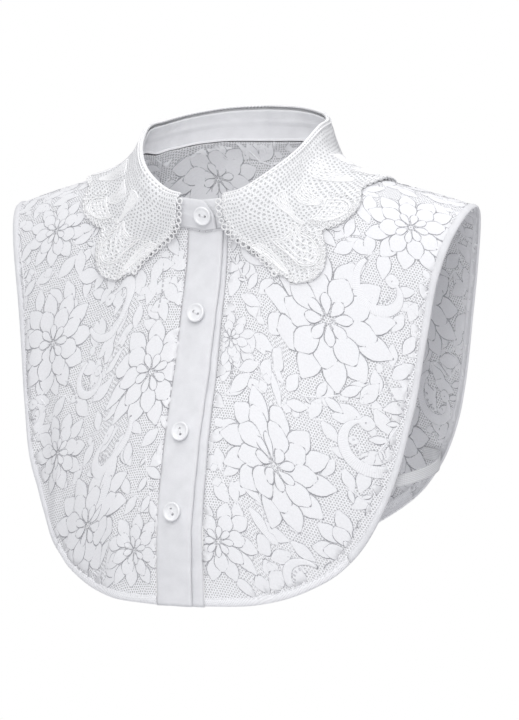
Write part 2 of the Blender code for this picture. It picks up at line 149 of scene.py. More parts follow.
# row, how far down the stand, how far off it, lift over its top
FALL_ROWS = (
    (0, 0.0, -1.1, 1.6), (1, 0.0, 1.2, 1.5), (2, 0.12, 1.7, 0.0), (3, 0.35, 2.4, 0.0),
    (4, 0.62, 2.9, 0.0), (5, 0.9, 3.4, 0.0), (6, 1.1, 3.6, 0.0), (7, 1.3, 3.6, 0.0),
    (8, 1.4, 3.6, 0.0), (9, 1.4, 3.6, 0.0),
)

# Large folds, as the solids have them, then finer creases that only the cloth has.
# on the back, across, height of the middle, half width, half length, height, lean
FOLDS = (
    (False, -132, -165, 7, 60, 1.6, 0),
    (False, -117, -185, 7, 50, -1.5, 0),
    (False, -46, -245, 9, 30, 1.6, 0),
    (False, 62, -232, 12, 42, -1.5, 0),
    (False, 112, -150, 10, 60, 1.5, 0),
    (False, -85, -95, 14, 50, -1.4, 0),
    (True, -60, -150, 13, 70, 1.8, 0),
    (True, 25, -170, 12, 60, -1.6, 0),
    (True, 95, -120, 12, 60, 1.6, 0),
    (False, -124, -172, 3.6, 44, -0.9, 0.06),
    (False, -104, -196, 4.2, 34, 0.8, 0.12),
    (False, -92, -222, 4.0, 24, -0.8, 0.3),
    (False, -34, -238, 3.4, 26, -0.8, -0.15),
    (False, 88, -226, 4.5, 26, 0.8, -0.35),
    (False, 44, -248, 4.0, 18, 0.6, -0.2),
    (False, 120, -176, 3.8, 34, -0.7, -0.1),
    (False, 30, -86, 5.0, 30, 0.5, 0.2),
    (False, -60, -66, 5.0, 26, 0.6, -0.3),
    (True, -98, -170, 5.0, 40, -0.9, 0.12),
    (True, -20, -205, 4.6, 26, 0.8, 0.1),
    (True, 60, -196, 5.0, 32, -0.8, -0.14),
    (True, 118, -150, 4.4, 34, 0.7, -0.1),
)

# height, on the stand
BUTTONS = (
    ("button_1", -29, True), ("button_2", -90, False), ("button_3", -163, False), ("button_4", -212, False)
)

# across, height, level of its middle off the panel
STRAP_FRONT = ((110, -194.6, -0.9), (118, -193.4, -1.4), (124.5, -192.2, -2.8))
STRAP_BACK = ((121.5, -180.2, -2.8), (114.5, -179.2, -1.4), (107, -178.4, -0.9))
# across, back, height
STRAP_SIDE = ((133.5, -15, -190), (137.5, 2, -187), (135.5, 20, -184), (130, 33.5, -181.8))


# The worn form, in millimetres, for arrays of places at once


def table_at(rows, key, column):
    """Smooth value of a column between the rows of a table."""
    order = sorted(rows, key=lambda row: row[0])
    xs = np.array([row[0] for row in order], float)
    ys = np.array([row[column] for row in order], float)
    key = np.clip(np.asarray(key, float), xs[0], xs[-1])
    slopes = np.empty(len(xs))
    slopes[1:-1] = (ys[2:] - ys[:-2]) / (xs[2:] - xs[:-2])
    slopes[0] = (ys[1] - ys[0]) / (xs[1] - xs[0])
    slopes[-1] = (ys[-1] - ys[-2]) / (xs[-1] - xs[-2])
    low = np.clip(np.searchsorted(xs, key, side="right") - 1, 0, len(xs) - 2)
    step = xs[low + 1] - xs[low]
    t = (key - xs[low]) / step
    rise = (2 * t - 3) * t * t
    return (
        (rise + 1) * ys[low]
        + ((t - 2) * t + 1) * t * step * slopes[low]
        - rise * ys[low + 1]
        + (t - 1) * t * t * step * slopes[low + 1]
    )


def fade(value):
    value = np.clip(value, 0.0, 1.0)
    return value * value * (3 - 2 * value)


def unit(vectors):
    return vectors / np.maximum(np.linalg.norm(vectors, axis=-1, keepdims=True), 1e-9)


def roll_of(across, back):
    return table_at(RIDGE, np.abs(across), 3) if back else FRONT_ROLL + 0 * np.asarray(across, float)


def reach_of(across, height, back):
    drop = np.maximum(table_at(RIDGE, np.abs(across), 1) - height, 0.0)
    roll = roll_of(across, back)
    near = np.arccos(np.clip(1 - drop / roll, -1, 1)) / (math.pi / 2)
    return np.where(drop < roll, near, drop / roll)


def reach_of_run(across, run, back):
    """Reach of a place so far down the cloth from the shoulder ridge."""
    roll = roll_of(across, back)
    quarter = roll * math.pi / 2
    run = np.maximum(run, 0.0)
    return np.where(run < quarter, run / quarter, 1 + (run - quarter) / roll)


def run_of_reach(across, reach, back):
    roll = roll_of(across, back)
    return np.where(reach < 1, reach * roll * math.pi / 2, roll * math.pi / 2 + (reach - 1) * roll)


def bare_point(across, reach, back):
    roll = roll_of(across, back)
    turn = np.minimum(reach, 1.0) * math.pi / 2
    height = table_at(
        RIDGE, np.abs(across), 1
    ) - roll * (1 - np.cos(turn)) - roll * np.maximum(reach - 1, 0.0)
    first = 3 if back else 1
    power = BACK_POWER if back else FRONT_POWER
    middle = table_at(BODY, height, first)
    side = table_at(BODY, height, first + 1)
    far = side + (middle - side) * (1 - (np.abs(across) / SIDE_REACH) ** power)
    ridge = table_at(RIDGE, np.abs(across), 2)
    return np.stack([across, ridge + (far - ridge) * np.sin(turn), height], axis=-1)


def fold_height(across, height, back):
    total = np.zeros_like(across)
    for on_back, x, z, half_wide, half_long, rise, lean in FOLDS:
        if on_back == back:
            aside = across - x - lean * (height - z)
            total = total + rise * np.exp(-((aside / half_wide) ** 2) - ((height - z) / half_long) ** 2)
    return total


def form_point(across, reach, back, level=0.0):
    """Place on the worn form moved out by a level, and the outward direction there."""
    across, reach = np.broadcast_arrays(np.asarray(across, float), np.asarray(reach, float))
    here = bare_point(across, reach, back)
    beside = bare_point(across + 0.5, reach, back) - bare_point(across - 0.5, reach, back)
    low = np.maximum(reach - 0.01, 0.0)
    along = bare_point(across, low + 0.02, back) - bare_point(across, low, back)
    out = unit(np.cross(beside, along))
    turned = out[..., 1] < -0.3 if back else out[..., 1] >= 0.3
    out = np.where(turned[..., None], -out, out)
    out = np.where((out[..., 2] < -0.5)[..., None], -out, out)
    lift = level + fold_height(across, here[..., 2], back)
    return here + out * lift[..., None], out


def edge_curve(rows, back):
    rows = np.array(rows, float)
    places = bare_point(rows[:, 0], reach_of(rows[:, 0], rows[:, 1], back), back)
    run = np.concatenate([[0.0], np.cumsum(np.linalg.norm(np.diff(places, axis=0), axis=1))])
    return [(run[i] / run[-1], rows[i, 0], rows[i, 1]) for i in range(len(rows))]


FRONT_CURVE = edge_curve(FRONT_EDGE, False)
BACK_CURVE = edge_curve(BACK_EDGE, True)


def turn_of_across(across):
    low, high = np.zeros_like(across), np.full_like(across, 90.0)
    for _ in range(30):
        middle = (low + high) / 2
        under = table_at(NECK, middle, 1) < across
        low, high = np.where(under, middle, low), np.where(under, high, middle)
    return low


def ray_point(share, along, back, stop):
    share, along = np.broadcast_arrays(np.asarray(share, float), np.asarray(along, float))
    turn = 90 + 90 * share if back else 90 - 90 * share
    neck_x, neck_r = table_at(NECK, turn, 1), table_at(NECK, turn, 2)
    curve = BACK_CURVE if back else FRONT_CURVE
    neck_x = stop[0] + neck_x * (63 - stop[0]) / 63
    edge_x = stop[1] + table_at(curve, share, 1) * (167.5 - stop[1]) / 167.5
    edge_r = reach_of(edge_x, table_at(curve, share, 2), back)
    if not back:
        neck_r = -table_at(NECK, turn_of_across(neck_x), 2)
    across = neck_x + (edge_x - neck_x) * along
    return across, np.maximum(neck_r + (edge_r - neck_r) * along, 0.0)


def under_drop(across, back, side, stop):
    drop = UNDER_LEVEL * (1 - fade((across - stop[0]) / OVERLAP_FADE))
    return 0.0 * drop if back else np.where(np.asarray(side) > 0, drop, 0.0)


def panel_place(share, along, back, side, stop, level=0.0):
    across, reach = ray_point(share, along, back, stop)
    return form_point(side * across, reach, back, level + under_drop(across, back, side, stop))


def ray_length(share, back, side, stop):
    near, _ = panel_place(share, 0.9, back, side, stop)
    far, _ = panel_place(share, 1.0, back, side, stop)
    return np.linalg.norm(far - near, axis=-1) * 10


def inner_edge(width, share, back, side, stop):
    return 1 - width / ray_length(share, back, side, stop)


def seam_point(turn):
    half = np.where(turn <= 180, np.abs(turn), np.abs(360 - turn))
    side = np.where(turn <= 180, np.where(turn < 0, -1.0, 1.0), np.where(turn > 360, 1.0, -1.0))
    across, reach = table_at(NECK, half, 1), table_at(NECK, half, 2)
    front, front_out = form_point(side * across, np.abs(reach), False)
    behind, behind_out = form_point(side * across, np.abs(reach), True)
    over = (reach > 0)[..., None]
    point, out = np.where(over, behind, front), np.where(over, behind_out, front_out)
    side_lift = 0.7 * (1 - np.minimum(np.abs(half - 82) / 30, 1))
    lift = SEAM_GAP + LACE_THICK * np.maximum(out[..., 2], 0.0) + side_lift
    return point + lift[..., None] * np.array((0.0, 0.0, 1.0)), side, half


def top_point(side, half):
    return np.stack(
        [side * table_at(NECK, half, 3), table_at(NECK, half, 4), table_at(NECK, half, 5)], axis=-1
    )


def stand_place(turn, up, level):
    turn, up = np.broadcast_arrays(np.asarray(turn, float), np.asarray(up, float))
    base, side, half = seam_point(turn)
    point = base + (top_point(side, half) - base) * up[..., None]
    away = np.stack([point[..., 0], point[..., 1] - STAND_MIDDLE, 0 * point[..., 0]], axis=-1)
    return point + unit(away) * (level + np.sin(math.pi * up))[..., None]


FALL_CURVE = [(t, x, float(reach_of(x, z, b)) * (1 if b else -1)) for t, x, z, b in FALL_EDGE]


def fall_place(turn, row):
    """Place on the lace collar: row 0 is inside the stand's top, row 1 over it, row 9 the scalloped edge."""
    turn, row = np.broadcast_arrays(np.asarray(turn, float), np.asarray(row, float))
    half = np.where(turn <= 180, turn, 360 - turn)
    side = np.where(turn <= 180, 1.0, -1.0)
    over_top, out, lift = (table_at(FALL_ROWS, row, column) for column in (1, 2, 3))
    near = stand_place(turn, 1 - over_top, STAND_THICK + out)
    off = unit(near - stand_place(turn, 1 - over_top, 0.0))
    slack = FALL_FRONT_LIFT * (1 - fade((half - 30) / 30)) * fade(row - 1)
    near = near + off * slack[..., None]
    near[..., 2] += lift
    down = (row - 1) / 8
    over = fade((down - 0.2) / 0.3)
    share = np.maximum(down - FALL_REST_START, 0.0) / (1 - FALL_REST_START)
    rest = FALL_LEVEL + FALL_FRONT_LEVEL * (1 - fade(share / 0.6))
    seam_x, seam_r = table_at(NECK, half, 1), table_at(NECK, half, 2)
    across = seam_x + (table_at(FALL_CURVE, half, 1) - seam_x) * share
    reach = seam_r + (table_at(FALL_CURVE, half, 2) - seam_r) * share
    front, _ = form_point(side * across, np.abs(reach), False, rest)
    behind, _ = form_point(side * across, np.abs(reach), True, rest)
    far = np.where((reach > 0)[..., None], behind, front)
    return near + (far - near) * over[..., None]


def fall_frame(turn, row, level=0.0):
    """Place on the collar moved out by a level, the way round it, the way down it and the way out."""
    turn, row = np.broadcast_arrays(np.asarray(turn, float), np.asarray(row, float))
    low, high = np.maximum(row - 0.08, 0), np.minimum(row + 0.08, 9)
    round_it = unit(fall_place(turn + 0.4, row) - fall_place(turn - 0.4, row))
    down_it = unit(fall_place(turn, high) - fall_place(turn, low))
    out = unit(np.cross(down_it, round_it))
    place = fall_place(turn, np.minimum(row, 9.0))
    place = place + down_it * (np.maximum(row - 9.0, 0.0) * 5.0)[..., None]
    return place + out * np.asarray(level)[..., None], round_it, down_it, out


# Making pieces


def new_piece(name, mesh, skin):
    item = bpy.data.objects.new(name, mesh)
    bpy.context.scene.collection.objects.link(item)
    mesh.materials.clear()
    mesh.materials.append(skin)
    for face in mesh.polygons:
        face.use_smooth = True
    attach(item, "root")
    return item


def write_vectors(mesh, name, values):
    layer = mesh.attributes.new(name, "FLOAT_VECTOR", "POINT")
    layer.data.foreach_set("vector", np.ascontiguousarray(values, dtype=np.float32).ravel())


def wall(item, thick, offset=-1.0):
    made = item.modifiers.new("wall", "SOLIDIFY")
    made.thickness = thick * MM
    made.offset = offset
    made.use_even_offset = True
    return made


def grid_mesh(name, columns, rows):
    """Flat grid from 0 to 1 each way, as a mesh, with the places of its corners."""
    grid = bmesh.new()
    bmesh.ops.create_grid(grid, x_segments=columns, y_segments=rows, size=0.5)
    mesh = bpy.data.meshes.new(name)
    grid.to_mesh(mesh)
    grid.free()
    places = np.empty(len(mesh.vertices) * 3)
    mesh.vertices.foreach_get("co", places)
    places = places.reshape(-1, 3)
    return mesh, places[:, 0] + 0.5, places[:, 1] + 0.5


def set_places(mesh, points):
    mesh.vertices.foreach_set("co", np.ascontiguousarray(points * MM, dtype=np.float32).ravel())
    mesh.update()


def face_out(mesh, outs):
    """Turn the faces of an open sheet to the side that outs, one direction for each corner, points to."""
    score = 0.0
    for face in mesh.polygons:
        score += face.normal.dot(Vector(outs[face.vertices[0]])) * face.area
    if score < 0:
        mesh.flip_normals()
        mesh.update()


def cloth_sheet(name, columns, rows, place, thick, skin, offset=-1.0):
    """place gives points, outward directions and flat cut places for arrays of u and v."""
    mesh, u, v = grid_mesh(name, columns, rows)
    points, outs, flat = place(u, v)
    set_places(mesh, points)
    face_out(mesh, outs)
    write_vectors(mesh, "flat", flat)
    item = new_piece(name, mesh, skin)
    wall(item, thick, offset)
    return item


# Materials


def shader_of(name, roughness, sheen=0.0):
    made = bpy.data.materials.new(name)
    made.use_nodes = True
    nodes, links = made.node_tree.nodes, made.node_tree.links
    shader = nodes["Principled BSDF"]
    shader.inputs["Roughness"].default_value = roughness
    shader.inputs["Sheen Weight"].default_value = sheen
    shader.inputs["Specular IOR Level"].default_value = 0.25
    return made, nodes, links, shader


def math_node(nodes, links, kind, a, b=None, clamp=False):
    node = nodes.new("ShaderNodeMath")
    node.operation = kind
    node.use_clamp = clamp
    for socket, value in zip(node.inputs, (a, b)):
        if value is None:
            continue
        if isinstance(value, (int, float)):
            socket.default_value = value
        else:
            links.new(value, socket)
    return node.outputs[0]


def vector_node(nodes, links, kind, a, b=None):
    node = nodes.new("ShaderNodeVectorMath")
    node.operation = kind
    for socket, value in zip(node.inputs, (a, b)):
        if value is None:
            continue
        if isinstance(value, tuple):
            socket.default_value = value
        else:
            links.new(value, socket)
    return node.outputs["Value"] if kind in ("LENGTH", "DOT_PRODUCT") else node.outputs[0]


def read_attribute(nodes, name):
    node = nodes.new("ShaderNodeAttribute")
    node.attribute_name = name
    return node.outputs["Vector"]


def ring_distance(nodes, links, flat, pitch):
    """Distance to the nearest point of a honeycomb of that pitch, in pitches."""
    spread = (1 / pitch, 1 / (pitch * math.sqrt(3)), 0.0)
    places = vector_node(nodes, links, "MULTIPLY", flat, spread)
    found = []
    for shift in (0.0, 0.5):
        moved = vector_node(nodes, links, "ADD", places, (shift, shift, 0.0))
        part = vector_node(nodes, links, "FRACTION", moved)
        part = vector_node(nodes, links, "SUBTRACT", part, (0.5, 0.5, 0.0))
        part = vector_node(nodes, links, "MULTIPLY", part, (1.0, math.sqrt(3), 0.0))
        found.append(vector_node(nodes, links, "LENGTH", part))
    return math_node(nodes, links, "MINIMUM", *found)


def noise_of(nodes, links, source, scale, detail=2.0):
    node = nodes.new("ShaderNodeTexNoise")
    node.inputs["Scale"].default_value = scale
    node.inputs["Detail"].default_value = detail
    links.new(source, node.inputs["Vector"])
    return node.outputs["Fac"]


def colour_ramp(nodes, links, factor, dark, light, low=0.0, high=1.0):
    node = nodes.new("ShaderNodeValToRGB")
    links.new(factor, node.inputs["Fac"])
    node.color_ramp.elements[0].position = low
    node.color_ramp.elements[0].color = (*dark, 1.0)
    node.color_ramp.elements[1].position = high
    node.color_ramp.elements[1].color = (*light, 1.0)
    return node.outputs["Color"]


def add_bump(nodes, links, shader, height, depth, strength=0.6):
    node = nodes.new("ShaderNodeBump")
    node.inputs["Strength"].default_value = strength
    node.inputs["Distance"].default_value = depth * MM
    links.new(height, node.inputs["Height"])
    links.new(node.outputs["Normal"], shader.inputs["Normal"])


def object_places(nodes):
    return nodes.new("ShaderNodeTexCoord").outputs["Object"]


def wobbled(nodes, links, flat, scale, reach):
    """Cut places pushed about softly, as threads are."""
    wobble = nodes.new("ShaderNodeTexNoise")
    wobble.inputs["Scale"].default_value = scale
    links.new(flat, wobble.inputs["Vector"])
    shift = vector_node(nodes, links, "SUBTRACT", wobble.outputs["Color"], (0.5, 0.5, 0.5))
    shift = vector_node(nodes, links, "MULTIPLY", shift, (reach, reach, 0.0))
    return vector_node(nodes, links, "ADD", flat, shift)


def net_material(name, pitch, hole, colour):
    """Fine net: open holes of a honeycomb, threads between; holes and thread sides coloured darker as
    painted shade.
    """
    made, nodes, links, shader = shader_of(name, 0.75, 0.1)
    flat = read_attribute(nodes, "flat")
    far = ring_distance(nodes, links, wobbled(nodes, links, flat, 0.3, 1.6), pitch)
    thread = math_node(nodes, links, "GREATER_THAN", far, hole)
    fibre = math_node(nodes, links, "MULTIPLY_ADD", thread, 1 - HOLE_HAZE)
    fibre.node.inputs[2].default_value = HOLE_HAZE
    links.new(fibre, shader.inputs["Alpha"])
    tone = math_node(nodes, links, "MULTIPLY", noise_of(nodes, links, flat, 0.35), 0.3)
    # Painted shade: colour darkens in the half-opaque holes and down the thread sides, standing for the
    # shaded inside seen through the net; the noise adds random tone.
    shade = math_node(nodes, links, "ADD", far, tone)
    links.new(
        colour_ramp(nodes, links, shade, [c * 0.82 for c in colour], colour, 0.36, 0.56),
        shader.inputs["Base Color"]
    )
    add_bump(nodes, links, shader, far, 0.25)
    return made


def motif_material(name, colour):
    """Dense woven part of the lace: fine threads along each petal and a dashed dark line round its rim,
    painted shade of the open gap there.
    """
    made, nodes, links, shader = shader_of(name, 0.7, 0.2)
    petal = read_attribute(nodes, "petal")
    split = nodes.new("ShaderNodeSeparateXYZ")
    links.new(petal, split.inputs[0])
    thread = math_node(nodes, links, "SINE", math_node(nodes, links, "MULTIPLY", split.outputs["Y"], 9.5))
    lines = math_node(nodes, links, "MULTIPLY_ADD", thread, 0.5)
    lines.node.inputs[2].default_value = 0.5
    flat = read_attribute(nodes, "flat")
    tone = noise_of(nodes, links, flat, 0.9, 3.0)
    mixed = math_node(
        nodes,
        links,
        "ADD",
        math_node(nodes, links, "MULTIPLY", lines, 0.35),
        math_node(nodes, links, "MULTIPLY", tone, 0.65)
    )
    body = colour_ramp(nodes, links, mixed, [c * 0.86 for c in colour], colour, 0.25, 0.72)
    # Painted shade: the rim of each petal and stem is coloured dark in dashes, standing for the shaded open
    # gaps between petals.
    rim = math_node(nodes, links, "LESS_THAN", split.outputs["Z"], 0.72)
    dash = math_node(nodes, links, "GREATER_THAN", noise_of(nodes, links, flat, 2.6, 1.0), 0.40)
    dark = math_node(nodes, links, "MULTIPLY", math_node(nodes, links, "MULTIPLY", rim, dash), 0.85)
    mix = nodes.new("ShaderNodeMix")
    mix.data_type = "RGBA"
    links.new(dark, mix.inputs["Factor"])
    links.new(body, mix.inputs["A"])
    mix.inputs["B"].default_value = (colour[0] * 0.30, colour[1] * 0.30, colour[2] * 0.32, 1.0)
    links.new(mix.outputs["Result"], shader.inputs["Base Color"])
    add_bump(nodes, links, shader, lines, 0.08, 0.5)
    return made


def guipure_net_material(name, pitch, colour):
    """Crocheted ground of the collar: rings with open middles; colour darker off each ring's crest and in
    the gaps as painted shade.
    """
    made, nodes, links, shader = shader_of(name, 0.8, 0.15)
    flat = read_attribute(nodes, "flat")
    far = ring_distance(nodes, links, wobbled(nodes, links, flat, 0.22, 2.2), pitch)
    ring = math_node(nodes, links, "GREATER_THAN", far, 0.26)
    gap = math_node(nodes, links, "LESS_THAN", far, 0.53)
    whole = math_node(nodes, links, "MULTIPLY", ring, gap)
    fibre = math_node(nodes, links, "MULTIPLY_ADD", whole, 1 - RING_HAZE)
    fibre.node.inputs[2].default_value = RING_HAZE
    links.new(fibre, shader.inputs["Alpha"])
    # Painted shade: each ring is lightest along its crest and darker down its sides, and the half-opaque
    # holes and gaps are darker still.
    cord = math_node(nodes, links, "ABSOLUTE", math_node(nodes, links, "SUBTRACT", far, 0.39))
    height = math_node(nodes, links, "SUBTRACT", 0.16, cord)
    shade = colour_ramp(nodes, links, height, [c * 0.88 for c in colour], colour, 0.0, 0.10)
    links.new(shade, shader.inputs["Base Color"])
    add_bump(nodes, links, shader, height, 1.5, 0.8)
    return made


def cord_material(name, colour, scale=2200.0):
    """Twisted cotton cord, thread or tape."""
    made, nodes, links, shader = shader_of(name, 0.8, 0.2)
    places = object_places(nodes)
    tone = noise_of(nodes, links, places, scale, 2.0)
    links.new(
        colour_ramp(nodes, links, tone, [c * 0.84 for c in colour], colour, 0.3, 0.65),
        shader.inputs["Base Color"]
    )
    add_bump(nodes, links, shader, tone, 0.15, 0.5)
    return made


def cotton_material(name, colour):
    """Plain cotton: two fine waves across each other, with soft unevenness."""
    made, nodes, links, shader = shader_of(name, 0.78, 0.25)
    flat = read_attribute(nodes, "flat")
    split = nodes.new("ShaderNodeSeparateXYZ")
    links.new(flat, split.inputs[0])
    warp = math_node(
        nodes, links, "SINE", math_node(nodes, links, "MULTIPLY", split.outputs["X"], 2 * math.pi / 0.36)
    )
    weft = math_node(
        nodes, links, "SINE", math_node(nodes, links, "MULTIPLY", split.outputs["Y"], 2 * math.pi / 0.36)
    )
    weave = math_node(nodes, links, "MULTIPLY", warp, weft)
    tone = noise_of(nodes, links, flat, 0.12, 4.0)
    fine = noise_of(nodes, links, flat, 1.4, 2.0)
    mixed = math_node(
        nodes,
        links,
        "ADD",
        math_node(nodes, links, "MULTIPLY", tone, 0.7),
        math_node(nodes, links, "MULTIPLY", fine, 0.3)
    )
    links.new(
        colour_ramp(nodes, links, mixed, [c * 0.93 for c in colour], colour, 0.35, 0.62),
        shader.inputs["Base Color"]
    )
    height = math_node(nodes, links, "ADD", math_node(nodes, links, "MULTIPLY", weave, 0.12), tone)
    add_bump(nodes, links, shader, height, 0.6, 0.5)
    return made


def elastic_material(name, colour):
    made, nodes, links, shader = shader_of(name, 0.75, 0.2)
    flat = read_attribute(nodes, "flat")
    split = nodes.new("ShaderNodeSeparateXYZ")
    links.new(flat, split.inputs[0])
    ribs = math_node(
        nodes, links, "SINE", math_node(nodes, links, "MULTIPLY", split.outputs["Y"], 2 * math.pi / 1.1)
    )
    cross = math_node(
        nodes, links, "SINE", math_node(nodes, links, "MULTIPLY", split.outputs["X"], 2 * math.pi / 0.7)
    )
    mixed = math_node(
        nodes,
        links,
        "ADD",
        math_node(nodes, links, "MULTIPLY", ribs, 0.3),
        math_node(nodes, links, "MULTIPLY", cross, 0.15)
    )
    links.new(
        colour_ramp(nodes, links, mixed, [c * 0.8 for c in colour], colour, -0.2, 0.3),
        shader.inputs["Base Color"]
    )
    add_bump(nodes, links, shader, mixed, 0.3, 0.6)
    return made


def button_material(name, colour):
    made, nodes, links, shader = shader_of(name, 0.28)
    shader.inputs["Specular IOR Level"].default_value = 0.5
    tone = noise_of(nodes, links, object_places(nodes), 160.0, 3.0)
    links.new(
        colour_ramp(nodes, links, tone, [c * 0.92 for c in colour], colour, 0.3, 0.7),
        shader.inputs["Base Color"]
    )
    return made


HOLE_HAZE = 0.64
RING_HAZE = 0.7
LACE_WHITE = (0.92, 0.922, 0.942)
COTTON_WHITE = (0.83, 0.833, 0.855)
net_skin = net_material("fine_net", 1.75, 0.31, [c * 0.94 for c in LACE_WHITE])
motif_skin = motif_material("woven_motif", LACE_WHITE)
# The ground is coloured darker than the cords of the same thread: painted shade of the ground beside the
# raised cords.
guipure_skin = guipure_net_material("crocheted_rings", 2.8, (0.925, 0.928, 0.942))
cord_skin = cord_material("guipure_cord", (0.985, 0.985, 0.99))
thread_skin = cord_material("sewing_thread", (0.90, 0.90, 0.92))
cotton_skin = cotton_material("cotton_poplin", COTTON_WHITE)
elastic_skin = elastic_material("elastic_tape", (0.87, 0.875, 0.89))
button_skin = button_material("button_resin", (0.90, 0.905, 0.92))


# Lace panels: the net, then the woven motifs laid on it

NET_LEVEL = 0.55
NET_THICK = 0.3


def flat_of(across, reach, back):
    run = run_of_reach(np.abs(across), reach, back)
    return np.stack([across, -run, 0 * run], axis=-1)


def net_front(name, side, stop):
    def place(u, v):
        share = u ** 0.95
        corner = fade((share - CORNER_SHARE) * 12 + 0.5)
        width = BAND_WIDTH + (HEM_WIDTH - BAND_WIDTH) * corner
        along = v * inner_edge(width - 1.5, share, False, side, stop)
        across, reach = ray_point(share, along, False, stop)
        points, outs = panel_place(share, along, False, side, stop, NET_LEVEL)
        return points, outs, flat_of(side * across, reach, False)

    item = cloth_sheet(name, 110, 110, place, NET_THICK, net_skin)
    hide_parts(name.replace("net_", ""))
    return item


def net_back():
    def place(u, v):
        side = np.where(u < 0.5, -1.0, 1.0)
        share = 1 - np.abs(2 * u - 1)
        along = v * inner_edge(BACK_BAND_WIDTH - 1.5, share, True, side, NO_STOP)
        across, reach = ray_point(share, along, True, NO_STOP)
        points, outs = panel_place(share, along, True, side, NO_STOP, NET_LEVEL)
        return points, outs, flat_of(side * across, reach, True)

    item = cloth_sheet("net_back_panel", 180, 110, place, NET_THICK, net_skin)
    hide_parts("back_panel")
    return item


net_left = net_front("net_front_left", 1, LEFT_STOP)
net_right = net_front("net_front_right", -1, RIGHT_STOP)
net_behind = net_back()


class Motifs:
    """Flat drawing of woven motifs in cut places: across, down from the ridge, and level."""

    def __init__(self):
        self.parts = []
        self.taken = []
        self.start()

    def make_room(self):
        """Set a part of the drawing aside, because long drawings are slow to add to."""
        if len(self.flat.verts) > 2500:
            part = bpy.data.meshes.new("drawing")
            self.flat.to_mesh(part)
            self.flat.free()
            self.parts.append(part)
            self.start()

    def start(self):
        self.flat = bmesh.new()
        self.petal = self.flat.verts.layers.float_vector.new("petal")

    def leaf(
        self,
        x,
        y,
        angle,
        length,
        width,
        level=0.0,
        point=0.6,
        rim=1.1,
        crown=0.06,
        columns=4,
        rows=8,
        line=True,
        sharp=0.72
    ):
        """One petal or leaf: from its foot at x, y, in that direction; point is where it is widest.

        line marks the rim for the dark line painted there as shade of the open gap, and sharp gives how
        pointed its tip is.
        """
        self.make_room()
        made = bmesh.ops.create_grid(self.flat, x_segments=columns, y_segments=rows, size=0.5)
        c, s = math.cos(angle), math.sin(angle)
        edge = min(rim / max(width / 2, 0.1), 0.8)
        for vert in made["verts"]:
            u, v = vert.co.x * 2, vert.co.y + 0.5
            if 0.3 < abs(u) < 0.7:
                u = math.copysign(1 - edge, u)
            k = round(v * rows)
            v = {0: 0.0, 1: rim / length, rows - 1: 1 - rim / length}.get(k, v)
            swell = math.sin(math.pi * v ** (math.log(0.5) / math.log(point)))
            half = max(width / 2 * max(swell, 0.0) ** (sharp if v > point else 0.72), width * 0.03)
            a, b = u * half, v * length
            inner = abs(u) < 0.99 and 0.001 < v < 0.999
            # z is 0 on the rim: there the material paints the dark line of shade between petals.
            vert[self.petal] = (u * half, b, 1.0 if inner or not line else 0.0)
            lift = level + crown * (1 - u * u) * math.sin(math.pi * v)
            vert.co = (x + a * s + b * c, y - a * c + b * s, lift)

    def band(self, line, widths, level=0.0, rim=0.6, crown=0.2):
        """A stem or scroll along a line of (x, y), with its width at each point."""
        count = len(line) - 1
        made = bmesh.ops.create_grid(self.flat, x_segments=4, y_segments=count, size=0.5)
        for vert in made["verts"]:
            u, k = vert.co.x * 2, round((vert.co.y + 0.5) * count)
            before, after = line[max(k - 1, 0)], line[min(k + 1, count)]
            along = Vector((after[0] - before[0], after[1] - before[1], 0)).normalized()
            half = widths[k] / 2
            if 0.3 < abs(u) < 0.7:
                u = math.copysign(max(1 - rim / max(half, 0.1), 0.3), u)
            inner = abs(u) < 0.99 and 0 < k < count
            # Rim value 0.6 on wide bands: the material paints the dark line of shade along their edges.
            vert[self.petal] = (u * half, k * 2.0, 1.0 if inner or max(widths) < 2 else 0.6)
            lift = level + crown * (1 - u * u)
            vert.co = (line[k][0] + along.y * u * half, line[k][1] - along.x * u * half, lift)

    def flower(self, x, y, radius, turn=0.0, petals=12):
        """Dahlia: pointed petals outside, broad ones, small round ones, an open centre."""
        self.taken.append((x, y, radius * 0.88))
        # count, foot, tip, width, level, widest at
        rings = (
            (petals, 0.36, 1.0, 0.40, 0.08, 0.54),
            (petals - 3, 0.14, 0.72, 0.40, 0.17, 0.60),
            (8, 0.06, 0.38, 0.19, 0.25, 0.62),
        )
        for ring, (count, foot, tip, wide, level, point) in enumerate(rings):
            for i in range(count):
                wobble = 0.055 * math.sin(2.3 * i + 1.7 * ring + turn * 3)
                angle = turn + 2 * math.pi * (i + 0.5 * ring) / count + wobble * 0.6
                start = radius * foot
                spot = (x + start * math.cos(angle), y + start * math.sin(angle))
                reach = radius * (tip - foot) * (1 + wobble)
                high = level + 0.05 * (i % 2)
                width = radius * wide * (1 - wobble)
                self.leaf(
                    *spot,
                    angle,
                    reach,
                    width,
                    high,
                    point,
                    min(1.1, radius * 0.03),
                    sharp=(1.0, 0.8, 0.7)[ring]
                )
        for i in range(6):
            angle = turn + math.pi * i / 3
            spot = (x + radius * 0.05 * math.cos(angle), y + radius * 0.05 * math.sin(angle))
            self.leaf(*spot, angle, radius * 0.10, radius * 0.06, 0.32, 0.5, 0.25, 0.1, 2, 3)

    def twig(self, x, y, angle, size, level=-0.03):
        """Three leaves and a bud on a short bent stem."""
        line = []
        for t in (-0.5, -0.2, 0.1, 0.4):
            way = angle + 0.9 * t
            line.append((x + size * t * math.cos(way), y + size * t * math.sin(way)))
        self.band(line, [0.7, 0.8, 0.8, 0.6], level, 0.25, 0.1)
        place = dict(level=level + 0.03, point=0.48, rim=0.7, crown=0.03, rows=6, sharp=1.0)
        self.leaf(*line[3], angle, size * 0.66, size * 0.38, **place)
        for side in (1, -1):
            foot = line[1 if side > 0 else 2]
            self.leaf(*foot, angle + side * 0.95, size * 0.66, size * 0.36, **place)
        self.leaf(*line[0], angle - 2.3, size * 0.28, size * 0.26, level + 0.03, 0.5, 0.4, 0.03, 4, 4)

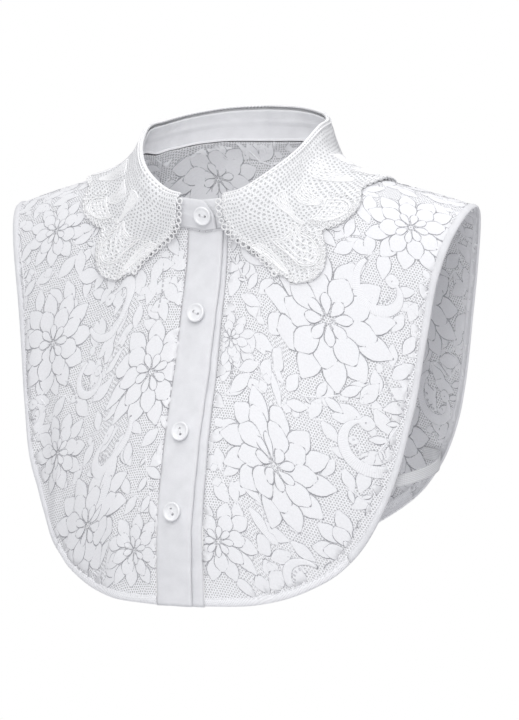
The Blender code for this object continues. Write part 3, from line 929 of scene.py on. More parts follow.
    def fill(self, left, right, low, high, step, size, seed):
        """Twigs in the places that nothing else has taken, turned along a soft flow."""
        chance = np.random.default_rng(seed)
        rows = int((high - low) / (step * 0.87)) + 1
        for j in range(rows):
            for i in range(int((right - left) / step) + 1):
                x = left + (i + 0.5 * (j % 2)) * step + chance.uniform(-0.2, 0.2) * step
                y = low + j * step * 0.87 + chance.uniform(-0.2, 0.2) * step
                grow = size * chance.uniform(0.82, 1.15)
                lean = chance.uniform(-0.5, 0.5)
                if all((x - a) ** 2 + (y - b) ** 2 > (r + size * 0.08) ** 2 for a, b, r in self.taken):
                    self.twig(
                        x,
                        y,
                        1.4 * math.sin(x * 0.045) + 1.6 * math.cos(y * 0.037) + lean,
                        grow,
                        -0.05 + 0.04 * (i % 2)
                    )

    def spray(self, x, y, angle, length, leaves, bend=0.6, size=9.0, level=0.0):
        """A stem with leaves on both sides and one at its end."""
        steps = 10
        line = []
        here, way = Vector((x, y)), angle
        for _ in range(steps + 1):
            line.append((here.x, here.y))
            here = here + Vector((math.cos(way), math.sin(way))) * (length / steps)
            way += bend / steps
        self.band(line, [1.0] * (steps + 1), level, 0.3, 0.15)
        for k in range(leaves):
            spot = line[1 + round(k * (steps - 2) / max(leaves - 1, 1))]
            side = 1 if k % 2 else -1
            lean = angle + bend * k / leaves + side * 0.85
            grow = size * (0.75 + 0.35 * math.sin(1.9 * k + x))
            self.leaf(*spot, lean, grow, grow * 0.52, level + 0.05, 0.48, 0.9, rows=6, sharp=1.0)
        self.leaf(*line[-1], way, size * 1.1, size * 0.54, level + 0.05, 0.48, 0.9, rows=6, sharp=1.0)
        self.taken += [(a, b, size * 0.3) for a, b in line[::3]]

    def scroll(self, x, y, angle, radius, bend=1, width=5.0, level=0.08):
        """C-scroll that winds in to a round end, with a row of beads inside its curve."""
        self.taken.append((x, y, radius * 0.45))
        line, widths = [], []
        steps = 26
        for k in range(steps + 1):
            t = k / steps
            way = angle + bend * t * 5.0
            r = radius * (1 - 0.62 * t)
            line.append((x + r * math.cos(way), y + r * math.sin(way)))
            widths.append(width * (0.35 + 0.65 * math.sin(math.pi * min(t * 1.15, 1.0)) ** 0.7))
        self.band(line, widths, level)
        end = line[-1]
        self.leaf(end[0] - width * 0.6, end[1], 0.0, width * 1.3, width * 1.25, level + 0.1, 0.5, 0.5)
        for k in range(5, 18, 2):
            t = k / steps
            way = angle + bend * t * 5.0
            r = radius * (1 - 0.62 * t) - width * 0.95
            self.leaf(
                x + r * math.cos(way), y + r * math.sin(way), way, 1.7, 1.7, level, 0.5, 0.25, 0.15, 2, 3
            )

    def beads(self, x, y, angle, count, step=3.2, bend=0.0, size=2.3, level=0.1):
        way = angle
        for _ in range(count):
            self.leaf(x, y, way, size, size * 0.95, level, 0.5, 0.3, 0.2, 2, 3)
            x += step * math.cos(way)
            y += step * math.sin(way)
            way += bend

    def lay(self, name, back, side, stop):
        """Clip the drawing to the panel and lay it on the worn form; the back's right side is its inside."""
        mesh = bpy.data.meshes.new(name)
        for part in self.parts:
            self.flat.from_mesh(part)
            bpy.data.meshes.remove(part)
        faces = self.flat.faces[:]
        middles = np.array([face.calc_center_median()[:] for face in faces])
        kept = on_panel(middles[:, 0], -middles[:, 1], back, side, stop)
        doomed = [face for face, stays in zip(faces, kept) if not stays]
        bmesh.ops.delete(self.flat, geom=doomed, context="FACES")
        self.flat.to_mesh(mesh)
        self.flat.free()
        count = len(mesh.vertices)
        places = np.empty(count * 3)
        mesh.vertices.foreach_get("co", places)
        places = places.reshape(-1, 3)
        across, run, level = places[:, 0], -places[:, 1], places[:, 2]
        if back:
            level = 0.2 - level
        reach = reach_of_run(np.abs(across), run, back)
        drop = under_drop(np.abs(across), back, side, stop)
        points, outs = form_point(across, reach, back, NET_LEVEL + 0.16 + level + drop)
        set_places(mesh, points)
        face_out(mesh, outs)
        write_vectors(mesh, "flat", np.stack([across, -run, 0 * run], axis=-1))
        item = new_piece(name, mesh, motif_skin)
        wall(item, 0.8)
        return item


def on_panel(x, run, back, side, stop):
    """True where the cut place lies on the panel, or a little under its bands."""
    aside = np.abs(x)
    reach = reach_of_run(aside, run, back)
    height = bare_point(aside, reach, back)[..., 2]
    margin = 5.0 if back else 3.0
    inside = (run > 0.6) & (aside < table_at(EDGE_BY_HEIGHT[back], height, 1) - margin)
    inside &= height > table_at(BACK_EDGE if back else FRONT_EDGE, aside, 1) + margin
    if not back:
        inside &= (x * side > 0) & (aside > stop[0] + (stop[1] - stop[0]) * np.minimum(run / 280, 1))
    seam = table_at(SEAM_BACK if back else SEAM_FRONT, np.maximum(aside - 3, 0), 1)
    return inside & ((aside >= 67) | (reach > seam + 0.05))


EDGE_BY_HEIGHT = {
    False: [(z, x) for x, z in FRONT_EDGE],
    True: [(z, x) for x, z in BACK_EDGE],
}
SEAM_FRONT = [(row[1], -row[2]) for row in NECK[:5]]
SEAM_BACK = [(row[1], row[2]) for row in NECK[4:]]


def draw_left_front():
    m = Motifs()
    m.flower(87, -125, 43, 0.2, 12)
    m.flower(134, -53, 30, 0.7, 11)
    m.flower(62, -226, 37, 0.5, 12)
    m.flower(112, -262, 27, 0.1, 10)
    m.flower(24, -168, 17, 0.3, 9)
    m.flower(30, -292, 26, 0.8, 10)
    m.scroll(121, -97, 2.2, 20, 1, 7.2)
    m.scroll(116, -190, 0.4, 25, -1, 7.8)
    m.scroll(34, -108, 1, 16, -1, 5.4)
    m.scroll(82, -288, 1, 14, 1, 5.4)
    m.spray(34, -140, 2.0, 30, 6, 0.5, 14)
    m.spray(96, -74, 2.2, 26, 5, 0.8, 14)
    m.spray(140, -160, -1.9, 44, 6, -0.3, 15)
    m.spray(140, -118, -1.2, 30, 4, 0.3, 14)
    m.spray(74, -176, 0.2, 26, 4, 0.3, 14)
    m.spray(104, -222, -0.4, 26, 4, -0.3, 14)
    m.beads(28, -196, 1.6, 8)
    m.beads(124, -150, -1.2, 9, bend=0.08)
    m.fill(14, 166, -314, -4, 18, 25, 11)
    return m.lay("motifs_front_left", False, 1, LEFT_STOP)


def draw_right_front():
    m = Motifs()
    m.flower(-30, -190, 34, 0.4, 11)
    m.flower(-116, -136, 33, 0.0, 11)
    m.flower(-72, -262, 34, 0.3, 12)
    m.flower(-120, -62, 25, 0.9, 10)
    m.flower(-104, -208, 26, 0.6, 10)
    m.flower(-30, -300, 24, 0.2, 10)
    m.scroll(-58, -222, 0.4, 18, -1, 7.2)
    m.scroll(-66, -128, 3.4, 20, 1, 6.6)
    m.scroll(-78, -168, 2, 14, 1, 5.4)
    m.scroll(-132, -178, 2.6, 16, 1, 6)
    m.spray(-44, -120, 1.7, 30, 5, -0.4, 14)
    m.spray(-86, -90, 1.6, 30, 5, 0.5, 14)
    m.spray(-144, -104, 1.6, 40, 6, 0.4, 15)
    m.spray(-26, -240, -1.4, 30, 5, 0.2, 14)
    m.spray(-128, -232, -1.2, 36, 5, 0.3, 14)
    m.beads(-30, -150, 1.4, 8, bend=0.05)
    m.beads(-90, -180, 1.9, 8, bend=0.1)
    m.fill(-166, -12, -314, -4, 18, 25, 12)
    return m.lay("motifs_front_right", False, -1, RIGHT_STOP)


def draw_back():
    m = Motifs()
    m.flower(-41, -52, 30, 0.3, 12)
    m.flower(26, -54, 25, 0.6, 11)
    m.flower(100, -112, 37, 0.1, 12)
    m.flower(-6, -128, 40, 0.5, 12)
    m.flower(-104, -150, 36, 0.8, 11)
    m.flower(74, -204, 37, 0.2, 12)
    m.flower(-46, -226, 36, 0.9, 11)
    m.flower(112, -52, 24, 0.4, 10)
    m.flower(-116, -66, 30, 0.1, 11)
    m.scroll(56, -96, 1, 18, 1, 7.2)
    m.scroll(-58, -106, 2, 17, -1, 6.6)
    m.scroll(24, -190, 2.6, 20, 1, 7.2)
    m.scroll(-78, -196, 0.6, 17, -1, 6)
    m.scroll(118, -170, 2, 18, 1, 6.6)
    m.scroll(10, -262, 0, 16, -1, 6)
    m.scroll(70, -58, 0.2, 16, 1, 5.4)
    # across, down, direction, length, bend
    for x, y, angle, length, bend in (
        (44, -150, 1.3, 36, 0.5),
        (-52, -150, 1.7, 34, -0.5),
        (28, -232, 0.5, 30, 0.4),
        (138, -150, -1.8, 34, -0.3),
        (-142, -112, -1.4, 36, 0.3),
        (-96, -200, -1.0, 34, 0.4),
        (-4, -84, 0.4, 28, 0.5),
        (-82, -100, 0.6, 24, 0.4),
    ):
        m.spray(x, y, angle, length, 6, bend, 14)
    for x, y, angle in ((40, -170, 0.8), (-30, -176, 2.4), (100, -156, 1.4)):
        m.beads(x, y, angle, 8, bend=0.1)
    m.fill(-166, 166, -290, -2, 18, 25, 13)
    return m.lay("motifs_back", True, 1, NO_STOP)


motifs_left = draw_left_front()
motifs_right = draw_right_front()
motifs_behind = draw_back()


# Bound armholes, hems and plackets


def crown_of(v, edge, top):
    """Level across a band: edge at its two sides, top in its middle."""
    return edge + (top - edge) * np.clip(1 - np.abs(2 * v - 1) ** 2.6, 0.0, 1.0)


def ray_level(share, along, back, side, stop, level):
    across, reach = ray_point(share, along, back, stop)
    drop = under_drop(across, back, side, stop)
    points, outs = form_point(side * across, reach, back, level + drop)
    return points, outs, flat_of(side * across, reach, back)


def binding_places(side, stop):
    def place(u, v):
        back = u > 0.5
        level = crown_of(v, 0.5, 1.75)
        found = []
        for on_back, corner, band in (
            (False, CORNER_SHARE, BAND_WIDTH), (True, BACK_CORNER_SHARE, BACK_BAND_WIDTH)
        ):
            share = np.abs(2 * u - 1) * corner
            width = band + (BAND_WIDTH - band) * (1 - fade(share * 6))
            held = NO_STOP if on_back else stop
            inner = inner_edge(width, share, on_back, side, held)
            found.append(ray_level(share, inner + (1 - inner) * v, on_back, side, held, level))
        return [np.where(back[:, None], found[1][i], found[0][i]) for i in range(3)]

    return place


def binding(name, side, stop):
    item = cloth_sheet(name, 160, 8, binding_places(side, stop), 1.5, cotton_skin)
    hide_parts(name.replace("bias_", "armhole_"))
    return item


binding_left = binding("bias_binding_left", 1, LEFT_STOP)
binding_right = binding("bias_binding_right", -1, RIGHT_STOP)


def hem_front(name, side, stop):
    def place(u, v):
        start = CORNER_SHARE + CORNER_SPLIT
        share = start + (1 - start) * u
        inner = inner_edge(HEM_WIDTH + 0.8, share, False, side, stop)
        return ray_level(share, inner + (1 - inner) * v, False, side, stop, crown_of(v, 0.5, 1.5))

    item = cloth_sheet(name, 60, 6, place, 1.3, hem_skin)
    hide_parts(name.replace("turned_", ""))
    return item


def hem_behind():
    def place(u, v):
        side = np.where(u < 0.5, -1.0, 1.0)
        start = BACK_CORNER_SHARE + CORNER_SPLIT
        share = start + (1 - start) * (1 - np.abs(2 * u - 1))
        inner = inner_edge(BACK_HEM_WIDTH + 1.0, share, True, side, NO_STOP)
        return ray_level(share, inner + (1 - inner) * v, True, side, NO_STOP, crown_of(v, 0.5, 1.4))

    item = cloth_sheet("turned_hem_back", 120, 6, place, 1.3, hem_skin)
    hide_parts("hem_back")
    return item


def folded_lace_material(name, colour):
    """Lace folded on itself: the net shows as fine dark points, painted shade in its holes."""
    made, nodes, links, shader = shader_of(name, 0.75, 0.15)
    flat = read_attribute(nodes, "flat")
    far = ring_distance(nodes, links, flat, 1.25)
    tone = noise_of(nodes, links, flat, 0.5, 2.0)
    # Painted shade: darker points where the net's holes are, with random tone from the noise.
    mixed = math_node(nodes, links, "ADD", far, math_node(nodes, links, "MULTIPLY", tone, 0.5))
    links.new(
        colour_ramp(nodes, links, mixed, [c * 0.7 for c in colour], colour, 0.3, 0.62),
        shader.inputs["Base Color"]
    )
    add_bump(nodes, links, shader, far, 0.3, 0.6)
    return made


hem_skin = folded_lace_material("folded_lace", LACE_WHITE)
hem_left = hem_front("turned_hem_front_left", 1, LEFT_STOP)
hem_right = hem_front("turned_hem_front_right", -1, RIGHT_STOP)
hem_back = hem_behind()


def pucker(across, run):
    """Small uneven waves of pressed cotton."""
    return (
        0.28 * np.sin(run * 0.11 + across * 0.09 + 0.6)
        + 0.22 * np.sin(run * 0.23 - across * 0.16)
        + 0.12 * np.sin(run * 0.47 + across * 0.31 + 1.3)
    )


def placket_strip(name, left, right, level, rows, replaced):
    foot = reach_of(0.0, -270.0, False)

    def place(u, v):
        a = left[0] + (left[1] - left[0]) * v
        b = right[0] + (right[1] - right[0]) * v
        across = a + (b - a) * u
        seam = 0.01 - table_at(NECK, turn_of_across(np.abs(across)), 2)
        reach = seam + (foot - seam) * v
        run = run_of_reach(np.abs(across), reach, False)
        soft = np.minimum(np.minimum(u, 1 - u) * 9, 1) ** 0.5
        rise = level + 0.55 + 0.55 * soft + pucker(across, run) * soft * np.minimum(v * 8, 1)
        points, outs = form_point(across, reach, False, rise)
        return points, outs, np.stack([across, -run, 0 * run], axis=-1)

    item = cloth_sheet(name, 16, rows, place, 1.1, cotton_skin)
    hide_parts(replaced)
    return item


top_placket = placket_strip(
    "cotton_placket_top",
    (-PLACKET_HALF, -PLACKET_HALF),
    (PLACKET_HALF, PLACKET_HALF),
    0.0,
    110,
    "placket_top"
)
under_placket = placket_strip(
    "cotton_placket_under", UNDER_LEFT, UNDER_RIGHT, UNDER_LEVEL - 0.15, 90, "placket_under"
)


# Stand and lace collar


def stand_shape(u, v, lift=0.0):
    turn = STAND_START + (STAND_END - STAND_START) * u
    level = STAND_LAP_IN * (1 - fade((turn + 2) / 40)) + STAND_LAP_OUT * fade((turn - 318) / 34)
    near = np.minimum(turn - STAND_START, STAND_END - turn)
    short = np.maximum(1 - near / STAND_ROUND, 0.0)
    up = v * (1 - 0.55 * short * short)
    crease = -0.9 * np.exp(-(((up - 0.60) / 0.045) ** 2)) * (0.7 + 0.3 * np.sin(turn * 0.09))
    ripple = 0.25 * np.sin(turn * 0.21 + 1.0) * np.sin(math.pi * up)
    place = stand_place(turn, up, level + crease + ripple + lift)
    return place, turn, up


def collar_stand():
    def place(u, v):
        points, turn, up = stand_shape(u, v, 1.35)
        centre = np.array((0.0, STAND_MIDDLE, 0.0))
        outs = points - centre
        outs[:, 2] = 0
        return points, unit(outs), np.stack([turn * 1.0, up * 20, 0 * up], axis=-1)

    item = cloth_sheet("cotton_stand", 260, 14, place, 1.2, cotton_skin)
    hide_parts("collar_stand")
    return item


stand = collar_stand()


def collar_flat(turn, row):
    """Cut places on the collar: how far round its middle, and how far down, in millimetres."""
    turns, rows = np.linspace(FALL_START, 360 - FALL_START, 111), np.linspace(0, 9, 37)
    a, b = np.meshgrid(turns, rows, indexing="ij")
    places = fall_place(a.ravel(), b.ravel()).reshape(111, 37, 3)
    down = np.cumsum(np.linalg.norm(np.diff(places, axis=1), axis=2), axis=1)
    down = np.concatenate([np.zeros((111, 1)), down], axis=1)
    round_it = np.cumsum(np.linalg.norm(np.diff(places[:, 22], axis=0), axis=1))
    round_it = np.concatenate([[0.0], round_it])
    i = np.clip((turn - turns[0]) / (turns[-1] - turns[0]) * 110, 0, 109.999)
    j = np.clip(row / 9 * 36, 0, 35.999)
    i0, j0 = i.astype(int), j.astype(int)
    fi, fj = i - i0, j - j0
    low = down[i0, j0] * (1 - fj) + down[i0, j0 + 1] * fj
    high = down[i0 + 1, j0] * (1 - fj) + down[i0 + 1, j0 + 1] * fj
    return np.stack([np.interp(turn, turns, round_it), low * (1 - fi) + high * fi, 0 * turn], axis=-1)


def collar_ground():
    def place(u, v):
        turn = FALL_START + (360 - 2 * FALL_START) * u
        points, _, _, outs = fall_frame(turn, 9 * v, 0.7)
        return points, outs, collar_flat(turn, 9 * v)

    item = cloth_sheet("guipure_ground", 300, 60, place, 0.7, guipure_skin)
    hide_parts("lace_collar")
    return item


ground = collar_ground()


def ring_template(radius, thick):
    ring = bmesh.new()
    bmesh.ops.create_circle(ring, segments=4, radius=thick)
    bmesh.ops.rotate(ring, verts=ring.verts, cent=(0, 0, 0), matrix=Matrix.Rotation(math.pi / 2, 3, "X"))
    bmesh.ops.translate(ring, verts=ring.verts, vec=(radius, 0, 0))
    bmesh.ops.spin(
        ring,
        geom=ring.verts[:] + ring.edges[:],
        cent=(0, 0, 0),
        axis=(0, 0, 1),
        angle=2 * math.pi,
        steps=9,
        use_merge=True,
    )
    bmesh.ops.remove_doubles(ring, verts=ring.verts, dist=thick * 0.05)
    bmesh.ops.recalc_face_normals(ring, faces=ring.faces)
    return ring


def stitch_template(length, wide, high):
    stitch = bmesh.new()
    bmesh.ops.create_icosphere(stitch, subdivisions=1, radius=0.5)
    bmesh.ops.scale(stitch, verts=stitch.verts, vec=(length, wide, high))
    return stitch


def scatter(name, template, places, first, second, third, skin, slot, sizes=None):
    """One joined mesh of copies of a small shape, each at a place with its three directions."""
    mesh = bpy.data.meshes.new(name)
    template.verts.ensure_lookup_table()
    shape = np.array([vert.co[:] for vert in template.verts])
    faces = [[vert.index for vert in face.verts] for face in template.faces]
    template.free()
    count = len(shape)
    sizes = np.ones(len(places)) if sizes is None else sizes
    turned = (
        shape[None, :, 0, None] * first[:, None, :]
        + shape[None, :, 1, None] * second[:, None, :]
        + shape[None, :, 2, None] * third[:, None, :]
    )
    points = (places[:, None, :] + turned * sizes[:, None, None]).reshape(-1, 3)
    joined = [[i + k * count for i in face] for k in range(len(places)) for face in faces]
    mesh.from_pydata((points * MM).tolist(), [], joined)
    mesh.update()
    return new_piece(name, mesh, skin)


def even_steps(path, step):
    """Parameters of places an even distance apart along a path of points."""
    run = np.concatenate([[0.0], np.cumsum(np.linalg.norm(np.diff(path, axis=0), axis=1))])
    count = max(int(run[-1] / step), 2)
    return np.interp((np.arange(count) + 0.5) / count * run[-1], run, np.linspace(0, 1, len(run)))


def collar_outline(inset, samples=1600):
    """Turn and row along the edge of the collar, up both front ends, that far inside it."""
    start, end = FALL_START, 360 - FALL_START
    edge_in = inset / 6.0
    t = np.linspace(0, 1, samples)
    front = 0.17
    turn = np.interp(
        t,
        [0, front, 1 - front, 1],
        [start + inset * 0.8, start + inset * 0.8, end - inset * 0.8, end - inset * 0.8]
    )
    row = np.interp(t, [0, front, 1 - front, 1], [1.6, 9 - edge_in, 9 - edge_in, 1.6])
    return turn, row


def ring_row(name, inset, step, radius, thick, level):
    turn, row = collar_outline(inset)
    path, _, _, _ = fall_frame(turn, row, level)
    t = even_steps(path, step)
    grid = np.linspace(0, 1, len(turn))
    turn, row = np.interp(t, grid, turn), np.interp(t, grid, row)
    places, round_it, down_it, out = fall_frame(turn, row, level)
    sizes = 1 + 0.10 * np.sin(np.arange(len(t)) * 1.7)
    second = np.cross(out, round_it)
    return scatter(
        name, ring_template(radius, thick), places, round_it, second, out, cord_skin, "guipure_lace", sizes
    )


edge_rings = ring_row("edge_rings", -2.8, 4.1, 1.7, 0.50, 0.6)
inner_rings = ring_row("inner_rings", 1.6, 3.7, 1.35, 0.42, 0.8)


def cords(name, lines, radius, skin):
    """Round cords along lines of places in millimetres, as one mesh."""
    curve = bpy.data.curves.new(name, "CURVE")
    curve.dimensions = "3D"
    curve.bevel_depth = radius * MM
    curve.bevel_resolution = 1
    curve.use_fill_caps = True
    for line in lines:
        spline = curve.splines.new("POLY")
        spline.points.add(len(line) - 1)
        for point, place in zip(spline.points, line):
            point.co = (*(np.asarray(place) * MM), 1.0)
    drawn = bpy.data.objects.new(name + "_line", curve)
    bpy.context.scene.collection.objects.link(drawn)
    mesh = bpy.data.meshes.new_from_object(drawn.evaluated_get(bpy.context.evaluated_depsgraph_get()))
    bpy.data.objects.remove(drawn, do_unlink=True)
    mesh.name = name
    return new_piece(name, mesh, skin)


class Crochet:
    """Drawing on the collar: places are (a, b) in mm round it and up from its edge at a turn."""

    def __init__(self):
        self.lines = []
        self.rings = []
        self.scales = {}

    def scale(self, turn):
        """Rows at a turn, how far each lies down the collar, and the width of one degree there."""
        if turn not in self.scales:
            rows = np.linspace(1, 9, 33)
            path = fall_place(np.full(33, turn), rows)
            run = np.concatenate([[0.0], np.cumsum(np.linalg.norm(np.diff(path, axis=0), axis=1))])
            beside = fall_place(np.full(33, turn + 1.0), rows) - fall_place(np.full(33, turn - 1.0), rows)
            self.scales[turn] = rows, run, np.linalg.norm(beside, axis=1) / 2
        return self.scales[turn]

    def spot(self, turn, a, b):
        """Turn and row of a place; widths are measured on the collar itself."""
        rows, run, degree = self.scale(turn)
        row = np.interp(run[-1] - np.asarray(b, float), run, rows)
        turns = turn + np.asarray(a, float) / np.maximum(np.interp(row, rows, degree), 0.2)
        return np.clip(turns, FALL_START + 0.5, 360 - FALL_START - 0.5), row

    def line(self, turn, points, level=1.0, steps=3):
        points = np.array(points, float)
        t = np.linspace(0, len(points) - 1, (len(points) - 1) * steps + 1)
        a = np.interp(t, np.arange(len(points)), points[:, 0])
        b = np.interp(t, np.arange(len(points)), points[:, 1])
        turns, rows = self.spot(turn, a, b)
        self.lines.append((turns, rows, np.full_like(turns, level)))

    def shield(self, turn, width, height, foot, lean=0.0, bars=3, rungs=5):
        """Rounded shield outlined by a double cord, filled with a lattice, rings round it."""
        half = width / 2
        arc = [(math.cos(w), math.sin(w)) for w in np.linspace(math.pi, 2 * math.pi, 11)]

        def bent(a, b):
            return a + lean * (b - foot), b

        for grow, level in ((0.0, 0.95), (-1.5, 0.8)):
            h = half + grow
            deep = foot + half * 0.9
            outline = [(-h * 0.92, foot + height + grow)]
            outline += [(c * h, deep + s * h * 0.95) for c, s in arc]
            outline += [(h * 0.92, foot + height + grow), (-h * 0.92, foot + height + grow)]
            self.line(turn, [bent(a, b) for a, b in outline], level)
        for k in range(bars):
            a = (k + 1) / (bars + 1) * 2 - 1
            low = foot + half * 0.9 - half * 0.9 * math.sqrt(max(1 - a * a, 0.05))
            points = [bent(
                a * half * 0.9 + 0.25 * (-1) ** i, low + (foot + height - low) * i / 7
            ) for i in range(8)]
            self.line(turn, points, 0.7, 2)
        for k in range(rungs):
            b = foot + height * (0.18 + 0.72 * k / max(rungs - 1, 1))
            wide = half * min(1.0, 0.62 + 0.5 * k / rungs)
            points = [bent(-wide + 2 * wide * i / 8, b + 0.45 * (-1) ** i) for i in range(9)]
            self.line(turn, points, 0.65, 2)
        grow = half + 2.6
        around = [(-grow, foot + height - 1.0), (-grow, foot + height * 0.6)]
        around += [(c * grow, foot + half * 0.9 + s * (half * 0.95 + 2.4)) for c, s in arc]
        around += [(grow, foot + height * 0.6), (grow, foot + height - 1.0)]
        self.ring_line(turn, [bent(a, b) for a, b in around], 3.3)

    def fan(self, turn, wide_top, wide_foot, top, foot, bars=6):
        """Wedge filled with lines that draw together, outlined."""
        for k in range(bars + 1):
            s = k / bars * 2 - 1
            points = [
                (s * wide_top / 2, top),
                (s * (wide_top + wide_foot) / 4, (top + foot) / 2),
                (s * wide_foot / 2, foot)
            ]
            self.line(turn, points, 0.8 if abs(s) == 1 else 0.65, 4)
        self.line(turn, [(-wide_top / 2, top), (0, top + 1.0), (wide_top / 2, top)], 0.8)
        self.line(turn, [(-wide_foot / 2, foot), (0, foot - 1.2), (wide_foot / 2, foot)], 0.8)

    def ring_line(self, turn, points, step):
        points = np.array(points, float)
        run = np.concatenate([[0.0], np.cumsum(np.linalg.norm(np.diff(points, axis=0), axis=1))])
        count = max(int(run[-1] / step), 2)
        t = (np.arange(count) + 0.5) / count * run[-1]
        turns, rows = self.spot(turn, np.interp(t, run, points[:, 0]), np.interp(t, run, points[:, 1]))
        self.rings += list(zip(turns, rows))

    def finish(self):
        ends = np.cumsum([len(line[0]) for line in self.lines])[:-1]
        places, _, _, _ = fall_frame(*(np.concatenate([line[i] for line in self.lines]) for i in range(3)))
        lines = cords("guipure_cords", np.split(places, ends), 0.46, cord_skin)
        spots = np.array(self.rings)
        places, round_it, down_it, out = fall_frame(spots[:, 0], spots[:, 1], 1.0)
        second = np.cross(out, round_it)
        rings = scatter(
            "medallion_rings",
            ring_template(1.2, 0.36),
            places,
            round_it,
            second,
            out,
            cord_skin,
            "guipure_lace"
        )
        return lines, rings


# turn, width, height, foot above the edge, lean
SHIELDS = (
    (19, 8, 26, 6, -0.15),
    (35, 19, 26, 5, 0.0),
    (60, 17, 17, 5, 0.0),
    (91, 18, 18, 5, 0.0),
    (117, 16, 16, 5, 0.0),
    (142, 17, 17, 5, 0.0),
    (170, 15, 16, 5, 0.0),
)

# turn, width at the top, width at the foot, top and foot above the edge
FANS = (
    (50, 9, 2, 42, 18),
    (64, 12, 4, 42, 26),
    (76, 13, 3, 38, 12),
    (91, 12, 4, 40, 27),
    (104, 13, 3, 38, 12),
    (117, 12, 4, 38, 25),
    (130, 13, 3, 36, 12),
    (143, 12, 4, 36, 26),
    (156, 13, 3, 36, 12),
    (170, 12, 4, 36, 25),
)

crochet = Crochet()
for turn, width, height, foot, lean in SHIELDS:
    crochet.shield(turn, width, height, foot, lean)
    crochet.shield(360 - turn, width, height, foot, -lean)
for turn, wide_top, wide_foot, top, foot in FANS:
    crochet.fan(turn, wide_top, wide_foot, top, foot)
    crochet.fan(360 - turn, wide_top, wide_foot, top, foot)
guipure_cords, medallion_rings = crochet.finish()

turn = np.linspace(FALL_START + 1, 359 - FALL_START, 260)
fold_edge = [fall_frame(turn, np.full(260, row), 0.8)[0] for row in (0.35, 0.8, 1.3)]
fold_cords = cords("fold_cords", fold_edge, 0.48, cord_skin)
turn = np.linspace(34, 326, 240)
seam_edge = [stand_place(turn, np.full(240, up), level) for up, level in ((0.0, 0.0), (0.035, 0.1))]
neck_seam_cords = cords("neck_seam_cords", seam_edge, 0.5, thread_skin)


# Buttons, straps and stitches


def button_frame(height, on_stand):
    if on_stand:
        spots = np.array((BUTTON_TURN, BUTTON_TURN, BUTTON_TURN + 2, BUTTON_TURN - 2))
        here, above, ahead, before = stand_place(spots, np.array((0.5, 0.6, 0.5, 0.5)), STAND_LAP_OUT)
        out = unit(np.cross(ahead - before, above - here))
        out = out if out[1] < 0 else -out
        return here + out * (STAND_THICK + SEAM_GAP), out
    reach = reach_of(0.0, float(height), False)
    here, out = form_point(np.zeros(1), reach, False, PLACKET_THICK + SEAM_GAP)
    return here[0], out[0]


def fine_button(name, height, on_stand, twist):
    here, out = button_frame(height, on_stand)
    half = BUTTON_THICK / 2
    # radius, height
    profile = (
        (0.0, -half), (4.2, -half), (5.2, -half * 0.75), (5.85, -half * 0.15), (6.0, half * 0.35),
        (5.85, half * 0.8), (5.45, half), (4.95, half * 0.93), (4.55, half * 0.55), (4.1, half * 0.32),
        (2.6, half * 0.22), (0.0, half * 0.26),
    )
    disc = bmesh.new()
    points = [disc.verts.new((r * MM, 0.0, z * MM)) for r, z in profile]
    edges = [disc.edges.new(pair) for pair in zip(points, points[1:])]
    bmesh.ops.spin(
        disc,
        geom=points + edges,
        cent=(0, 0, 0),
        axis=(0, 0, 1),
        angle=2 * math.pi,
        steps=44,
        use_merge=True
    )
    bmesh.ops.remove_doubles(disc, verts=disc.verts, dist=0.00001)
    bmesh.ops.recalc_face_normals(disc, faces=disc.faces)
    mesh = bpy.data.meshes.new(name)
    disc.to_mesh(mesh)
    disc.free()
    item = bpy.data.objects.new(name, mesh)
    bpy.context.scene.collection.objects.link(item)
    pins = []
    for sign in (-1, 1):
        pin = bmesh.new()
        bmesh.ops.create_cone(
            pin, cap_ends=True, segments=16, radius1=0.85 * MM, radius2=0.85 * MM, depth=8 * MM
        )
        bmesh.ops.translate(pin, verts=pin.verts, vec=(0, sign * 1.75 * MM, 0))
        pin_mesh = bpy.data.meshes.new("pin")
        pin.to_mesh(pin_mesh)
        pin.free()
        cutter = bpy.data.objects.new("pin", pin_mesh)
        bpy.context.scene.collection.objects.link(cutter)
        cut = item.modifiers.new("hole", "BOOLEAN")
        cut.operation = "DIFFERENCE"
        cut.solver = "EXACT"
        cut.object = cutter
        pins.append(cutter)
    cut_mesh = bpy.data.meshes.new_from_object(item.evaluated_get(bpy.context.evaluated_depsgraph_get()))
    for old in (item, *pins):
        bpy.data.objects.remove(old, do_unlink=True)
    turn = Vector(out).to_track_quat("Z", "Y").to_matrix().to_4x4() @ Matrix.Rotation(twist, 4, "Z")
    middle = Vector(here + out * half) * MM
    cut_mesh.transform(Matrix.Translation(middle) @ turn)
    cut_mesh.name = name
    shown = new_piece(name, cut_mesh, button_skin)
    shown.data.set_sharp_from_angle(angle=math.radians(40))
    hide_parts(name.replace("resin_", ""))
    spots, ways, sides, ups = [], [], [], []
    matrix = turn.to_3x3()
    for shift in (-0.35, 0.0, 0.35):
        spots.append(np.array(middle / MM + matrix @ Vector((shift, 0.0, half * 0.45))))
        ways.append(np.array(matrix @ Vector((0, 1, 0))))
        sides.append(np.array(matrix @ Vector((1, 0, 0))))
        ups.append(np.array(matrix @ Vector((0, 0, 1))))
    return spots, ways, sides, ups


thread_parts = ([], [], [], [])
for index, (button_name, button_height, is_on_stand) in enumerate(BUTTONS):
    parts = fine_button("resin_" + button_name, button_height, is_on_stand, (1.35, 1.2, 0.25, 0.4)[index])
    for kept, found in zip(thread_parts, parts):
        kept.extend(found)
button_thread = scatter(
    "button_thread",
    stitch_template(4.2, 0.5, 0.9),
    *(np.array(part) for part in thread_parts),
    thread_skin,
    "cotton_poplin",
)


